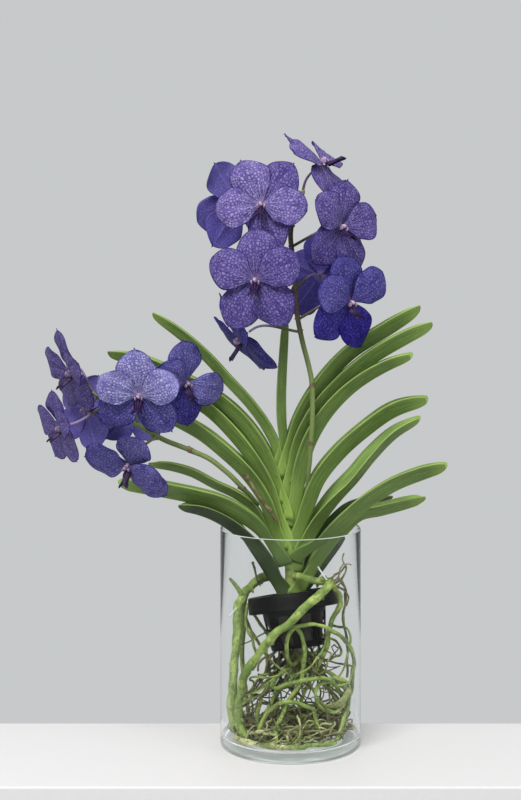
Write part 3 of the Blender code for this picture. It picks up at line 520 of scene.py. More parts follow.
def petal_face(name, deep, light, deep_fleck, light_fleck):
    """Violet with a net of pale flecks, rays from the claw and a thin dark edge that is painted shadow
    between overlapping tepals; the tone makes it paler.
    """
    finish = Finish(name)
    deep, light = tint(*deep), tint(*light)
    deep_fleck, light_fleck = tint(*deep_fleck), tint(*light_fleck)
    along, across = finish.surface_place()
    net = petal_net(finish, along, across)
    tone = finish.tone()
    clouds = finish.noise(60, 3)
    rays = ((across * 2 - 1) * 26 + clouds * 7).sine().ease(-0.2, 1.0) * along.ease(0.02, 0.16)
    near = 1 - along.ease(0.12, 0.5)
    fleck = finish.mix(tone, deep_fleck, light_fleck)
    claw = finish.mix(tone, tint(62, 34, 92), tint(176, 158, 196))
    # The dark edge is painted shadow, standing in for the creases between overlapping tepals.
    rim = from_middle(across).ease(0.9, 0.99).most(along.ease(0.955, 0.998))
    colour = finish.coats(
        deep,
        (tone, light),
        (clouds.ease(0.38, 0.62) * 0.42, deep),
        # Darker towards the claw: partly the tepal's own darker base, partly painted shade where the tepals
        # overlap.
        (near * 0.4, deep),
        (net * 0.85, fleck),
        (rays * near * 0.4, fleck),
        ((1 - along.ease(0.02, 0.16)) * 0.6, claw),
        (rim * 0.75, deep))
    relief = net * 0.7 + rays * near * 0.5 + finish.noise(260, 3) * 0.25
    return finish.close(colour, 0.5 + 0.15 * clouds, relief, 0.45, {"Specular IOR Level": 0.12})


def petal_back():
    """The reverse of the tepals: duller, with the net showing through and a pale middle vein."""
    finish = Finish("petal_back")
    along, across = finish.surface_place()
    net = petal_net(finish, along, across)
    tone = finish.tone()
    clouds = finish.noise(55, 3)
    colour = finish.coats(
        tint(42, 32, 110),
        (tone, tint(112, 102, 172)),
        (net * 0.45, finish.mix(tone, tint(92, 86, 158), tint(168, 164, 206))),
        (clouds.ease(0.4, 0.7) * 0.3, tint(70, 58, 132)),
        ((1 - from_middle(across).ease(0.0, 0.07)) * 0.2, tint(140, 130, 188)),
        ((1 - along.ease(0.0, 0.14)) * 0.4, tint(160, 146, 188)))
    return finish.close(
        colour, 0.55 + 0.15 * clouds, net * 0.6 + clouds * 0.4, 0.35, {"Specular IOR Level": 0.22})


def column_flesh():
    """The column: pinkish white where the tone is 1, dark purple where it is 0."""
    finish = Finish("column_flesh")
    speckle = finish.noise(700, 3)
    stripes = finish.noise(240, 3, distortion=1.5)
    colour = finish.coats(
        tint(50, 22, 74),
        (finish.tone(), tint(190, 168, 194)),
        (stripes.ease(0.45, 0.6) * 0.65, tint(104, 62, 122)),
        (speckle.ease(0.55, 0.7) * 0.3, tint(220, 206, 218)))
    return finish.close(colour, 0.4 + 0.12 * speckle, speckle + stripes, 0.3, {"Specular IOR Level": 0.4})


def lip_velvet():
    """The lip: purple-black with a violet edge, a little paler along its three ridges."""
    finish = Finish("lip_velvet")
    along, across = finish.surface_place()
    offside = from_middle(across)
    ridges = (1 - offside.ease(0.0, 0.12)).most(1 - (offside - 0.5).size().ease(0.0, 0.1))
    grain = finish.noise(500, 3)
    colour = finish.coats(
        tint(26, 10, 44),
        (ridges * (1 - along.ease(0.4, 0.9)) * 0.4, tint(96, 64, 128)),
        (offside.ease(0.85, 0.98) * 0.35, tint(84, 58, 124)),
        (grain.ease(0.5, 0.75) * 0.5, tint(14, 5, 26)))
    return finish.close(
        colour, 0.34 + 0.2 * grain, grain * 0.5 + ridges * 0.5, 0.35, {"Specular IOR Level": 0.2})


def stalk_skin():
    """Flower stalks: olive green at tone 0, dark brown at 0.5 and lilac at 1, streaked and speckled."""
    finish = Finish("stalk_skin")
    along, across = finish.surface_place()
    tone = finish.tone()
    streaks = finish.noise(1, 3, finish.vector(along * 60, across * 9))
    specks = finish.noise(800, 2).ease(0.56, 0.7)
    colour = finish.coats(
        tint(102, 122, 60),
        (tone.ease(0.0, 0.5), tint(72, 58, 46)),
        (tone.ease(0.5, 1.0), tint(140, 122, 164)),
        (streaks.ease(0.4, 0.8) * 0.4, tint(124, 122, 82)),
        (specks * 0.45, tint(62, 46, 34)))
    return finish.close(colour, 0.4 + 0.2 * streaks, streaks + specks * 0.3, 0.2)


def dry_bract():
    """Papery brown sheaths and the dead stalk."""
    finish = Finish("dry_bract")
    along, across = finish.surface_place()
    fibres = finish.noise(1, 4, finish.vector(along * 8, across * 40))
    stains = finish.noise(130, 4)
    colour = finish.coats(
        tint(84, 74, 46),
        (stains.ease(0.3, 0.7), tint(140, 130, 88)),
        (fibres.ease(0.45, 0.65) * 0.65, tint(52, 40, 26)))
    return finish.close(colour, 0.6 + 0.25 * fibres, fibres + stains * 0.5, 0.35)


def stem_sheath():
    """The stem's clasping leaf feet: yellow-green with brown edges at each ring."""
    finish = Finish("stem_sheath")
    along, across = finish.surface_place()
    fibres = finish.noise(1, 3, finish.vector(along * 10, across * 60))
    stains = finish.noise(90, 4)
    colour = finish.coats(
        tint(142, 164, 84),
        (fibres.ease(0.35, 0.75) * 0.6, tint(104, 132, 54)),
        ((1 - along.ease(0.05, 0.25)) * 0.6, tint(150, 140, 92)),
        (finish.tone() * (0.2 + 0.5 * stains.ease(0.4, 0.65)), tint(118, 92, 52)))
    return finish.close(colour, 0.45 + 0.2 * stains, fibres + stains * 0.4, 0.3)


def root_skin(name, pale, deep, flecks, share):
    """Roots' spongy skin: streaked green with dark pits and pale flecks, browner where the tone is low."""
    finish = Finish(name)
    pale, deep, flecks = (tint(*screen) for screen in (pale, deep, flecks))
    along, across = finish.surface_place()
    clouds = finish.noise(70, 4)
    dashes = finish.noise(1, 3, finish.vector(along * 90, across * 14)).ease(0.6, 0.68)
    pits = finish.noise(260, 4, distortion=1.0).ease(0.54, 0.64)
    lines = finish.noise(1, 4, finish.vector(along * 12, across * 16))
    colour = finish.coats(
        deep,
        (clouds.ease(0.38, 0.62), pale),
        (lines.ease(0.42, 0.62) * 0.5, deep),
        (pits * 0.6, tint(62, 72, 34)),
        (dashes * share, flecks),
        ((1 - finish.tone()) * 0.85, tint(74, 60, 38)))
    relief = clouds * 0.5 + lines * 0.7 + dashes * 0.3 - pits * 0.5
    return finish.close(colour, 0.5 + 0.25 * clouds, relief, 0.7)


def dark_root_and_shade_skin():
    finish = Finish("dark_root_and_shade_skin")
    tone = finish.tone()
    clouds = finish.noise(120, 4)
    # Near black at tone 0: partly dark roots, partly painted shade where the roots lie inside the pot.
    colour = finish.coats(
        tint(16, 14, 11),
        (tone, tint(124, 122, 74)),
        (clouds.ease(0.4, 0.7) * 0.5, finish.mix(tone, tint(30, 26, 18), tint(74, 70, 40))))
    return finish.close(colour, 0.55 + 0.25 * clouds, clouds, 0.4)


def clear_stick():
    finish = Finish("clear_stick")
    scuffs = finish.noise(600, 3)
    colour = finish.mix(scuffs, tint(222, 226, 218), tint(240, 242, 238))
    return finish.close(colour, 0.25 + 0.2 * scuffs, scuffs, 0.1, {"Transmission Weight": 0.45, "IOR": 1.45})


def pale_shelf():
    finish = Finish("pale_shelf")
    grain = finish.noise(240, 3)
    colour = finish.mix(grain, tint(214, 212, 213), tint(220, 219, 219))
    return finish.close(colour, 0.5 + 0.1 * grain, grain, 0.02)


# Modelling tools


def curve_through(points, shares):
    """Places on a smooth curve through the points, at shares of its length."""
    points = np.array(points, float)
    steps = np.linalg.norm(np.diff(points, axis=0), axis=1)
    knots = np.concatenate([[0], np.cumsum(steps)])
    slopes = np.gradient(points, knots, axis=0)
    dense = np.linspace(0, knots[-1], 30 * len(points))
    piece = np.clip(np.searchsorted(knots, dense, "right") - 1, 0, len(steps) - 1)
    step = steps[piece][:, None]
    t = (dense - knots[piece])[:, None] / step
    line = (
        (2 * t**3 - 3 * t**2 + 1) * points[piece] + (t**3 - 2 * t**2 + t) * step * slopes[piece]
        + (3 * t**2 - 2 * t**3) * points[piece + 1] + (t**3 - t**2) * step * slopes[piece + 1])
    lengths = np.concatenate([[0], np.cumsum(np.linalg.norm(np.diff(line, axis=0), axis=1))])
    wanted = np.asarray(shares) * lengths[-1]
    return np.stack([np.interp(wanted, lengths, line[:, axis]) for axis in range(3)], axis=1)


def route_length(route):
    return float(np.linalg.norm(np.diff(np.array(route, float), axis=0), axis=1).sum())


def carried_frames(line):
    """A line's direction at each place, and two directions square to it that turn as little as they can."""
    ahead = np.gradient(line, axis=0)
    ahead /= np.linalg.norm(ahead, axis=1)[:, None]
    side = np.cross(ahead[0], (0.35, 0.9, 0.26))
    sides = []
    for direction in ahead:
        side = side - direction * side.dot(direction)
        side /= np.linalg.norm(side)
        sides.append(side)
    sides = np.array(sides)
    return ahead, sides, np.cross(ahead, sides)


def eased(low, high, share):
    """0 below low, 1 above high and a smooth step between."""
    t = min(max((share - low) / (high - low), 0), 1)
    return t * t * (3 - 2 * t)


def hill(place, middle, spread):
    """1 at the middle, falling off to 0 on both sides."""
    return math.exp(-(((place - middle) / spread) ** 2))


class Piece:
    """One visible piece while it is modelled: a bmesh with a UV map and a tone on each point."""

    def __init__(self, name):
        self.name = name
        self.shape = bmesh.new()
        self.uv = self.shape.loops.layers.uv.new("UVMap")
        self.tone = self.shape.verts.layers.float.new("tone")

    def sheet(self, rows, across, where, tone, matrix=TO_METRES, slot=0):
        """Adds a sheet: a grid whose point at a row and a share across the function where puts in place."""
        along = len(rows) - 1
        verts = bmesh.ops.create_grid(self.shape, x_segments=along, y_segments=across, size=1)["verts"]
        spots = {vert: (round((vert.co.x + 1) / 2 * along), (vert.co.y + 1) / 2) for vert in verts}
        faces = {face for vert in verts for face in vert.link_faces}
        for vert, (row, share) in spots.items():
            vert.co = matrix @ Vector(where(row, share))
            vert[self.tone] = tone(rows[row], share) if callable(tone) else tone
        for face in faces:
            face.smooth = True
            face.material_index = slot
            for loop in face.loops:
                row, share = spots[loop.vert]
                loop[self.uv].uv = (rows[row], share)
        return verts

    def tube(self, route, width, tone, spacing=2.5, around=12, flat=1.0, matrix=TO_METRES, slot=0):
        """Adds a closed tube with round ends along a smooth route. width(share, angle) is its radius."""
        length = route_length(route)
        ends = [(0.0, 0.0), (0.134, 0.5), (0.5, 0.866)]
        first = max(width(0.0, 0.0) / length, 1e-4)
        last = max(width(1.0, 0.0) / length, 1e-4)
        middle = np.linspace(first, 1 - last, max(int(length / spacing), 3))
        rows = [share * first for share, _ in ends] + list(middle)
        rows += [1 - share * last for share, _ in ends[::-1]]
        swell = [factor for _, factor in ends] + [1.0] * len(middle) + [factor for _, factor in ends[::-1]]
        line = curve_through(route, rows)
        _, side, lift = carried_frames(curve_through(route, np.linspace(0, 1, len(rows))))
        stations = np.linspace(0, 1, len(rows))
        side = np.stack([np.interp(rows, stations, side[:, axis]) for axis in range(3)], axis=1)
        lift = np.stack([np.interp(rows, stations, lift[:, axis]) for axis in range(3)], axis=1)

        def where(row, share):
            angle = 2 * math.pi * share
            radius = width(rows[row], angle) * swell[row]
            aside = side[row] * (radius * math.cos(angle))
            return line[row] + aside + lift[row] * (radius * flat * math.sin(angle))

        verts = self.sheet(rows, around, where, tone, matrix, slot)
        bmesh.ops.remove_doubles(self.shape, verts=verts, dist=2e-6)
        faces = {face for vert in verts if vert.is_valid for face in vert.link_faces}
        bmesh.ops.recalc_face_normals(self.shape, faces=list(faces))

    def done(self, nodes, finishes, wall=0.0, reverse=1, rim=0):
        """Makes the object: it rides on the plant, stands for its CAD nodes and gets its materials."""
        mesh = bpy.data.meshes.new(self.name)
        self.shape.to_mesh(mesh)
        self.shape.free()
        for finish in finishes:
            mesh.materials.append(finish)
        piece = bpy.data.objects.new(self.name, mesh)
        bpy.context.scene.collection.objects.link(piece)
        if wall:
            thick = piece.modifiers.new("Wall", "SOLIDIFY")
            thick.thickness = wall * MM
            thick.offset = 0
            thick.material_offset = reverse
            thick.material_offset_rim = rim
        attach(piece, "root")
        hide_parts(*nodes)
        return piece


# The vase and the basket


def arc(centre, radius, start, end, count):
    """Points on an arc of a profile, from start to end in degrees."""
    angles = np.radians(np.linspace(start, end, count))
    return [(centre[0] + radius * math.cos(a), centre[1] + radius * math.sin(a)) for a in angles]


def make_vase(glass, rim_glass, foot_glass):
    """The cylinder: a thick base with a softly domed floor, a straight wall and a rounded rim."""
    inner = VASE_RADIUS - VASE_WALL
    rim = VASE_WALL / 2
    profile = [
        (0, VASE_BASE + 0.5), (inner * 0.4, VASE_BASE + 0.4), (inner * 0.75, VASE_BASE),
        *arc((inner - 5, VASE_BASE + 4.4), 5, -90, 0, 8),
        (inner, VASE_HEIGHT * 0.5),
        *arc((inner + rim, VASE_HEIGHT - rim), rim, 180, 0, 9),
        (VASE_RADIUS, VASE_HEIGHT * 0.5),
        *arc((VASE_RADIUS - VASE_EDGE, VASE_EDGE), VASE_EDGE, 0, -90, 8),
        (VASE_RADIUS * 0.75, 0.0), (VASE_RADIUS * 0.4, 0.7), (0, 1.0),
    ]
    vase = Piece("vase_glass")
    shape = vase.shape
    points = [shape.verts.new((radius * MM, 0, height * MM)) for radius, height in profile]
    edges = [shape.edges.new(pair) for pair in zip(points, points[1:])]
    bmesh.ops.spin(
        shape, geom=points + edges, cent=(0, 0, 0), axis=(0, 0, 1), angle=2 * math.pi, steps=VASE_STEPS,
        use_merge=True)
    bmesh.ops.remove_doubles(shape, verts=shape.verts, dist=1e-6)
    bmesh.ops.recalc_face_normals(shape, faces=shape.faces)
    for face in shape.faces:
        face.smooth = True
        height = face.calc_center_median().z / MM
        if height > VASE_HEIGHT - rim * 0.7:
            face.material_index = 1
        elif height < VASE_FOOT_RISE:
            face.material_index = 2
    piece = vase.done(["vase"], [glass, rim_glass, foot_glass])
    piece.visible_shadow = False
    piece.visible_diffuse = False


def basket_matrix():
    return (
        Matrix.Translation(BASKET_PLACE)
        @ Matrix.Rotation(BASKET_LEAN_SIDE, 4, "Y")
        @ Matrix.Rotation(BASKET_LEAN_BACK, 4, "X")
        @ TO_METRES
    )


def make_packing(dark):
    """The matted roots that fill the basket behind its slots, near black: partly dark roots, partly painted
    shade inside the pot.
    """
    packing = Piece("basket_packed_roots")
    top = BASKET_TOP_RADIUS - 3.5
    foot = BASKET_FOOT_RADIUS - 3
    profile = [
        (0, -1), (14, -0.5), (26, -1.5), (top, -4), (top, -14), (top - 2, -26), (foot + 1, -40), (foot, -50),
        (24, -53.5), (15, -56), (0, -57)]
    rows = list(np.linspace(0, 1, 41))
    stations = np.linspace(0, 1, len(profile))

    def where(row, share):
        radius, height = (float(np.interp(rows[row], stations, column)) for column in zip(*profile))
        angle = 2 * math.pi * share
        place = Vector((radius * math.cos(angle), radius * math.sin(angle), height))
        lumps = noise.noise(place * 0.1) + 0.8 * noise.noise(place * 0.3)
        return place * (1 + 0.05 * lumps * eased(0, 20, radius))

    # Tone 0.06 gives near black, painted shade inside the pot over the roots' own dark colour.
    verts = packing.sheet(rows, 72, where, 0.06, basket_matrix())
    bmesh.ops.remove_doubles(packing.shape, verts=verts, dist=2e-6)
    bmesh.ops.recalc_face_normals(packing.shape, faces=packing.shape.faces)
    packing.done(["roots_fine"], [dark])


def make_basket(plastic):
    """The net pot: a flanged rim with a lip along its lower edge, and a tapered, slotted body with a hoop."""
    basket = Piece("basket_net_pot")
    half = BASKET_WALL / 2
    outer = BASKET_RIM_RADIUS - half
    floor = -BASKET_DEPTH + half
    rim = [
        (BASKET_TOP_RADIUS - half, -half), (BASKET_RIM_RADIUS - 2, -half), (outer - 0.4, -half - 0.3),
        (outer, -half - 1.2), (outer, -BASKET_RIM_BAND * 0.5), (outer, -BASKET_RIM_BAND + 1.6),
        (BASKET_RIM_RADIUS - 0.2, -BASKET_RIM_BAND + 0.7), (outer, -BASKET_RIM_BAND)]
    depths = [
        half, 6, 12, 18, BASKET_SLOT_TOP, 26, 30, *BASKET_HOOP, 39, 43, 47, BASKET_SLOT_FOOT, 53,
        BASKET_DEPTH - half]
    taper = (BASKET_TOP_RADIUS - BASKET_FOOT_RADIUS) / BASKET_DEPTH
    body = [(BASKET_TOP_RADIUS - half - taper * depth, -depth) for depth in depths]
    body += [(25, floor), (BASKET_HOLE_RADIUS, floor)]
    for profile in (rim, body):
        rows = list(np.linspace(0, 1, len(profile)))

        def where(row, share, profile=profile):
            radius, height = profile[row]
            if profile is rim and row in (4, 5):
                radius += 0.35 * hill(((share * 48) % 1) - 0.5, 0, 0.16)
            angle = 2 * math.pi * share
            return (radius * math.cos(angle), radius * math.sin(angle), height)

        verts = basket.sheet(rows, BASKET_STEPS, where, 0.5, basket_matrix())
        bmesh.ops.remove_doubles(basket.shape, verts=verts, dist=1e-6)
    inverse = basket_matrix().inverted()
    slot_faces = []
    for face in basket.shape.faces:
        middle = inverse @ face.calc_center_median()
        radius = math.hypot(middle.x, middle.y)
        in_slots = BASKET_SLOT_TOP < -middle.z < BASKET_SLOT_FOOT
        if radius > BASKET_TOP_RADIUS or not in_slots or BASKET_HOOP[0] < -middle.z < BASKET_HOOP[1]:
            continue
        turn = math.atan2(middle.y, middle.x) / (2 * math.pi) * BASKET_SLOTS - 0.5
        if abs(turn - round(turn)) * 2 * math.pi * radius / BASKET_SLOTS < BASKET_SLOT_WIDTH / 2:
            slot_faces.append(face)
    bmesh.ops.delete(basket.shape, geom=slot_faces, context="FACES")
    bmesh.ops.recalc_face_normals(basket.shape, faces=basket.shape.faces)
    basket.done(["basket"], [plastic], wall=BASKET_WALL, reverse=0)


# The stem and the leaves


def make_stem(sheath):
    """The stem: flattened, with a ring where each old leaf foot ends."""
    stem = Piece("stem_sheathed")
    rings = 16

    def width(share, angle):
        radius = np.interp(share, np.linspace(0, 1, len(STEM_RADII)), STEM_RADII)
        step = (share * rings + 0.12 * math.cos(angle)) % 1
        return float(radius) * (0.96 + 0.06 * step**3)

    def tone(share, across):
        step = (share * rings + 0.12 * math.cos(2 * math.pi * across)) % 1
        return max(eased(0.7, 0.98, step), 1 - eased(0.0, 0.16, step)) * (1 - 0.95 * eased(0.2, 0.5, share))

    flatten = TO_METRES @ Matrix.Diagonal((1, STEM_FLATNESS, 1, 1))
    stem.tube(STEM_ROUTE, width, tone, spacing=1.2, around=28, matrix=flatten)
    stem.done(["stem"], [sheath])


def leaf_width(name, share):
    """Share of the full width that a leaf has at a share of its length."""
    tip = min(max((share - LEAF_TIP_START) / (1 - LEAF_TIP_START), 0), 1)
    rounding = LEAF_TIP_SHARE + (1 - LEAF_TIP_SHARE) * (1 - tip**2.1) ** 0.62
    if name == "leaf_centre":
        return rounding * np.interp(share, (0, 0.35, 1), CENTRE_LEAF_WIDTHS)
    base, end = LEAF_BASE_SHARE, LEAF_BASE_END
    if name in FRONT_LEAVES:
        base, end = FRONT_LEAF_BASE_SHARE, FRONT_LEAF_BASE_END
    return rounding * (base + (1 - base) * eased(0, end, share))


def make_leaf(name, leaf, chance, faces):
    """A folded strap along its route, round at the keel, a little wavy, with two uneven lobes at its tip."""
    rows = [*np.linspace(0, 0.86, 52), *np.linspace(0.875, 1, 18)]
    route = CENTRE_LEAF_FOOT + leaf.route if name == "leaf_centre" else leaf.route
    centres = curve_through(route, rows)
    tangents = np.gradient(centres, np.array(rows), axis=0)
    heading = Vector(leaf.route[-1]) - Vector(leaf.route[0])
    heading = Vector((1, 0, 0)) if name == "leaf_centre" else Vector((heading.x, heading.y, 0)).normalized()
    sideways = heading.cross(Vector((0, 0, 1)))
    phase = chance.uniform(0, 6)
    lobes = (chance.uniform(-0.2, 0.6), chance.uniform(-5.0, -2.6))
    if chance.random() < 0.5:
        lobes = lobes[::-1]
    frames = []
    for row, share in enumerate(rows):
        along = Vector(tangents[row]).normalized()
        twist = math.radians(np.interp(share, (0, 0.5, 1), (0, leaf.twist_mid, leaf.twist_tip)))
        side = (sideways - sideways.dot(along) * along).normalized()
        side.rotate(Matrix.Rotation(twist, 3, along))
        fold = math.radians(LEAF_FOLD + (leaf.tip_fold - LEAF_FOLD) * eased(0.1, 0.9, share))
        half = leaf.half * leaf_width(name, share) * (1 + LEAF_SPREAD * eased(0.2, 0.5, share))
        frames.append((Vector(centres[row]), along, side, side.cross(along), fold, half))

    def where(row, share):
        centre, along, side, up, fold, half = frames[row]
        u = 2 * share - 1
        reach = rows[row]
        hand = 1 if u > 0 else -1
        clasp = LEAF_CLASP * u * u * (1 - eased(0, 0.17, reach))
        bulge = -0.03 * half * math.sin(math.pi * abs(u)) * hand
        turn = phase + 22 * reach + (1.3 if u > 0 else 0)
        wave = 0.35 * abs(u) ** 3 * math.sin(turn) * eased(0.15, 0.4, reach) * hand
        point = centre + side * (half * math.sin(fold) * u + bulge * math.cos(fold) + wave)
        point += up * (half * math.cos(fold) * (abs(u) - 0.5) - abs(bulge) * math.sin(fold) + clasp)
        tip = eased(0.93, 1, reach)
        lobe = lobes[0] if u > 0 else lobes[1]
        ragged = 0.5 * noise.noise(Vector((u * 5, phase, 0)))
        point += along * tip * (lobe * (0.35 + 0.65 * abs(u)) - LEAF_NOTCH * (1 - abs(u)) ** 2 + ragged)
        return point

    piece = Piece(name + "_blade")
    tone = chance.random() * 0.6
    piece.sheet(rows, LEAF_STEPS_ACROSS, where, 1.0 if name in FRONT_LEAVES else tone)
    bmesh.ops.reverse_faces(piece.shape, faces=piece.shape.faces)
    for edge in piece.shape.edges:
        uvs = [loop[piece.uv].uv.y for vert in edge.verts for loop in vert.link_loops]
        if all(abs(uv - 0.5) < 1e-4 for uv in uvs):
            edge.smooth = False
    piece.done([name], faces, wall=LEAF_THICKNESS)


# The flowers


def bloom_matrix(bloom):
    """From a flower's own frame, in mm, to the world."""
    azimuth = math.radians(bloom.azimuth)
    elevation = math.radians(bloom.elevation)
    level = math.cos(elevation)
    out = Vector((math.sin(azimuth) * level, -math.cos(azimuth) * level, math.sin(elevation)))
    right = Vector((0, 0, 1)).cross(out).normalized()
    up = out.cross(right)
    turn = Matrix((right, up, out)).transposed().to_4x4()
    roll = Matrix.Rotation(math.radians(bloom.roll), 4, "Z")
    return Matrix.Translation(Vector(bloom.centre) * MM) @ turn @ roll @ Matrix.Scale(bloom.size * MM, 4)


def make_tepals(name, bloom, chance, finishes):
    """Two petals before three sepals, each narrow at its claw, uneven and wavy; the sepals are pointed."""
    piece = Piece("tepals_" + name)
    rows = [*np.linspace(0.0, 0.82, 22), *np.linspace(0.85, 1, 10)]
    for tepal, direction in zip(TEPALS, bloom.directions):
        turn = Matrix.Rotation(math.radians(direction), 4, "Z")
        tilt = Matrix.Rotation(math.radians(-tepal.pitch - bloom.pitch), 4, "Y")
        sepal = tepal.layer == SEPAL_LAYER
        peak = LATERAL_PEAK if tepal is LATERAL else TEPAL_PEAK
        phase = chance.uniform(0, 6)
        waves = chance.uniform(8, 12)
        lift = chance.uniform(1.1, 2.1)
        arch_share = chance.uniform(0.02, 0.06) if sepal else chance.uniform(0.08, 0.13)
        point_length = chance.uniform(1.6, 3.0) if sepal else chance.uniform(0, 1)
        cup = chance.uniform(0.0, 0.12)
        claw = chance.uniform(0.7, 0.85) if sepal else chance.uniform(0.5, 0.68)
        skew = chance.uniform(-0.07, 0.07)
        slant = chance.uniform(-2.5, 2.5)
        corners = chance.uniform(0.035, 0.08)
        twist = math.radians(chance.uniform(-9, 9))
        recurve = chance.uniform(0, 2.2)

        def where(row, share):
            reach = 0.02 + 0.972 * rows[row]
            u = 2 * share - 1
            hand = 1 if u > 0 else -1
            outline = math.sin(math.pi * reach**peak) ** TEPAL_FULLNESS
            outline *= claw + (1 - claw) * eased(0, 0.36, reach)
            bays = corners * math.sin(phase + 10 * reach + 2.1 * hand) * eased(0.3, 0.5, reach)
            outline *= 1 + bays + skew * hand
            half = tepal.width / 2 * outline
            arch = tepal.length * arch_share * math.sin(math.pi * reach) - recurve * eased(0.7, 1, reach)
            margin = cup * half * u * u
            ripple = lift * abs(u) ** 2.2 * math.sin(phase + waves * reach + 2 * hand)
            ripple *= eased(0.15, 0.5, reach)
            crease = 0.9 * hill(u, 0, 0.13) * eased(0.05, 0.25, reach) * (1 - eased(0.7, 0.98, reach))
            folds = 0.3 * math.sin(9 * u + phase) * eased(0.1, 0.3, reach) * (1 - eased(0.5, 0.95, reach))
            tip = point_length * hill(u, 0, 0.2) * eased(0.9, 1, rows[row])
            rise = arch - margin + ripple - crease + folds
            spin = twist * eased(0.1, 1, reach)
            aside = half * u * math.cos(spin) - rise * math.sin(spin) + slant * reach**2
            above = rise * math.cos(spin) + half * u * math.sin(spin)
            flat = Vector((tepal.length * reach + tip, aside, above))
            return turn @ (tilt @ flat + Vector((0, 0, tepal.layer)))

        shade = bloom.paleness[sepal and tepal is LATERAL] + chance.uniform(-0.06, 0.06)
        shade = min(max(shade, 0), 1)
        piece.sheet(rows, 22, where, shade, bloom_matrix(bloom))
    piece.done(["bloom_" + name], finishes, wall=TEPAL_THICKNESS * bloom.size)


def make_column(name, bloom, flesh):
    """The column: a short stout peg that widens to its hooded anther cap, with painted shade in the hollow
    under it.
    """
    piece = Piece("column_" + name)
    route = [(0, 0, -COLUMN_BACK), (0, 0, -5), (0, 0, 0), (0, 0.2, 4), (0, 0.5, COLUMN_FRONT)]
    stations = (0, 0.35, 0.6, 0.72, 0.84, 0.93, 1)
    radii = (1.6, 1.9, 2.6, 2.2, 2.4, 2.5, 1.8)

    def width(share, angle):
        hollow = 0.5 * hill(share, 0.9, 0.08) * max(0, -math.cos(angle - 1.2))
        return float(np.interp(share, stations, radii)) - hollow

    def tone(share, across):
        # under marks the hollow below the cap, where the tone is lowered as painted shade.
        under = max(0, -math.cos(2 * math.pi * across - 1.2))
        return min(1, max(0, 0.25 + 0.75 * eased(0.45, 0.75, share) - 0.9 * under * hill(share, 0.9, 0.1)))

    piece.tube(route, width, tone, spacing=1.1, around=16, matrix=bloom_matrix(bloom))
    piece.done(["bloom_" + name], [flesh])


def make_lip(name, bloom, velvet, flesh):
    """The lip: a stiff tongue with three ridges and a two-horned tip, between two small pale ears."""
    piece = Piece("tongue_" + name)
    slant = math.radians(LIP_PITCH)
    out = Vector((0, -math.cos(slant), math.sin(slant)))
    lift = Vector((0, math.sin(slant), math.cos(slant)))
    start = Vector(LIP_START)
    rows = list(np.linspace(0, 1, 17))

    def tongue(row, share):
        reach = rows[row]
        u = 2 * share - 1
        horn = eased(0.8, 1, reach) * (LIP_NOTCH * (abs(u) - 1) * 1.3 + 0.03 * u * u)
        half = LIP_WIDENING * float(np.interp(reach, LIP_STATIONS, LIP_HALF_WIDTHS))
        sag = 1.2 * math.sin(math.pi * reach) * (1 - u * u) + 3.2 * abs(u) ** 1.8
        ridges = 0.7 * (hill(u, 0, 0.13) + hill(abs(u), 0.5, 0.12)) * (1 - eased(0.6, 0.95, reach))
        return start + out * LIP_LENGTH * (reach + horn) + Vector((half * u, 0, 0)) + lift * (ridges - sag)

    matrix = bloom_matrix(bloom)
    piece.sheet(rows, 16, tongue, 0.2, matrix)
    for hand in (-1, 1):
        ear_rows = list(np.linspace(0, 1, 7))

        def ear(row, share, hand=hand, ear_rows=ear_rows):
            reach = ear_rows[row]
            u = 2 * share - 1
            half = 2.4 * math.sin(math.pi * min(0.12 + 0.8 * reach, 0.97)) ** 0.6
            aside = hand * (3.0 + 1.6 * reach - 0.9 * reach * reach)
            return (aside, -4.6 + 4.4 * reach, 4.6 + half * u + 1.2 * reach)

        piece.sheet(ear_rows, 6, ear, 0.6, matrix, slot=1)
    piece.done(["lip_" + name], [velvet, flesh], wall=LIP_THICKNESS * bloom.size, reverse=0)


# The flower stalks


def pedicel_route(name, bloom, spike):
    """The stalklet from the nearest lower place on the spike to the back of a flower."""
    matrix = bloom_matrix(bloom)
    end = matrix @ Vector((0, 0, -COLUMN_BACK - PEDICEL_GAP)) / MM
    before = Vector(OWN_BENDS.get(name, matrix @ Vector((0, 0, -COLUMN_BACK - PEDICEL_BEND)) / MM))
    line = curve_through(spike, np.linspace(0.2, 1, 120))
    gaps = np.linalg.norm(line + np.array((0, 0, 14)) - np.array(before), axis=1)
    start = line[int(gaps.argmin())]
    return [tuple(start), tuple(before), tuple(end)]


def add_bract(piece, foot, axis, out, length, radius, spread):
    """A pointed papery sheath that clasps a stalk at its foot."""
    axis = Vector(axis).normalized()
    out = Vector(out)
    out = (out - axis * out.dot(axis)).normalized()
    beside = axis.cross(out)
    rows = list(np.linspace(0, 1, 9))

    def where(row, share):
        reach = rows[row]
        angle = (2 * share - 1) * spread * (1 - 0.85 * reach**1.6)
        distance = radius * (1 + 0.35 * reach**2)
        place = Vector(foot) + axis * length * reach
        return place + (out * math.cos(angle) + beside * math.sin(angle)) * distance

    piece.sheet(rows, 12, where, 0.5)


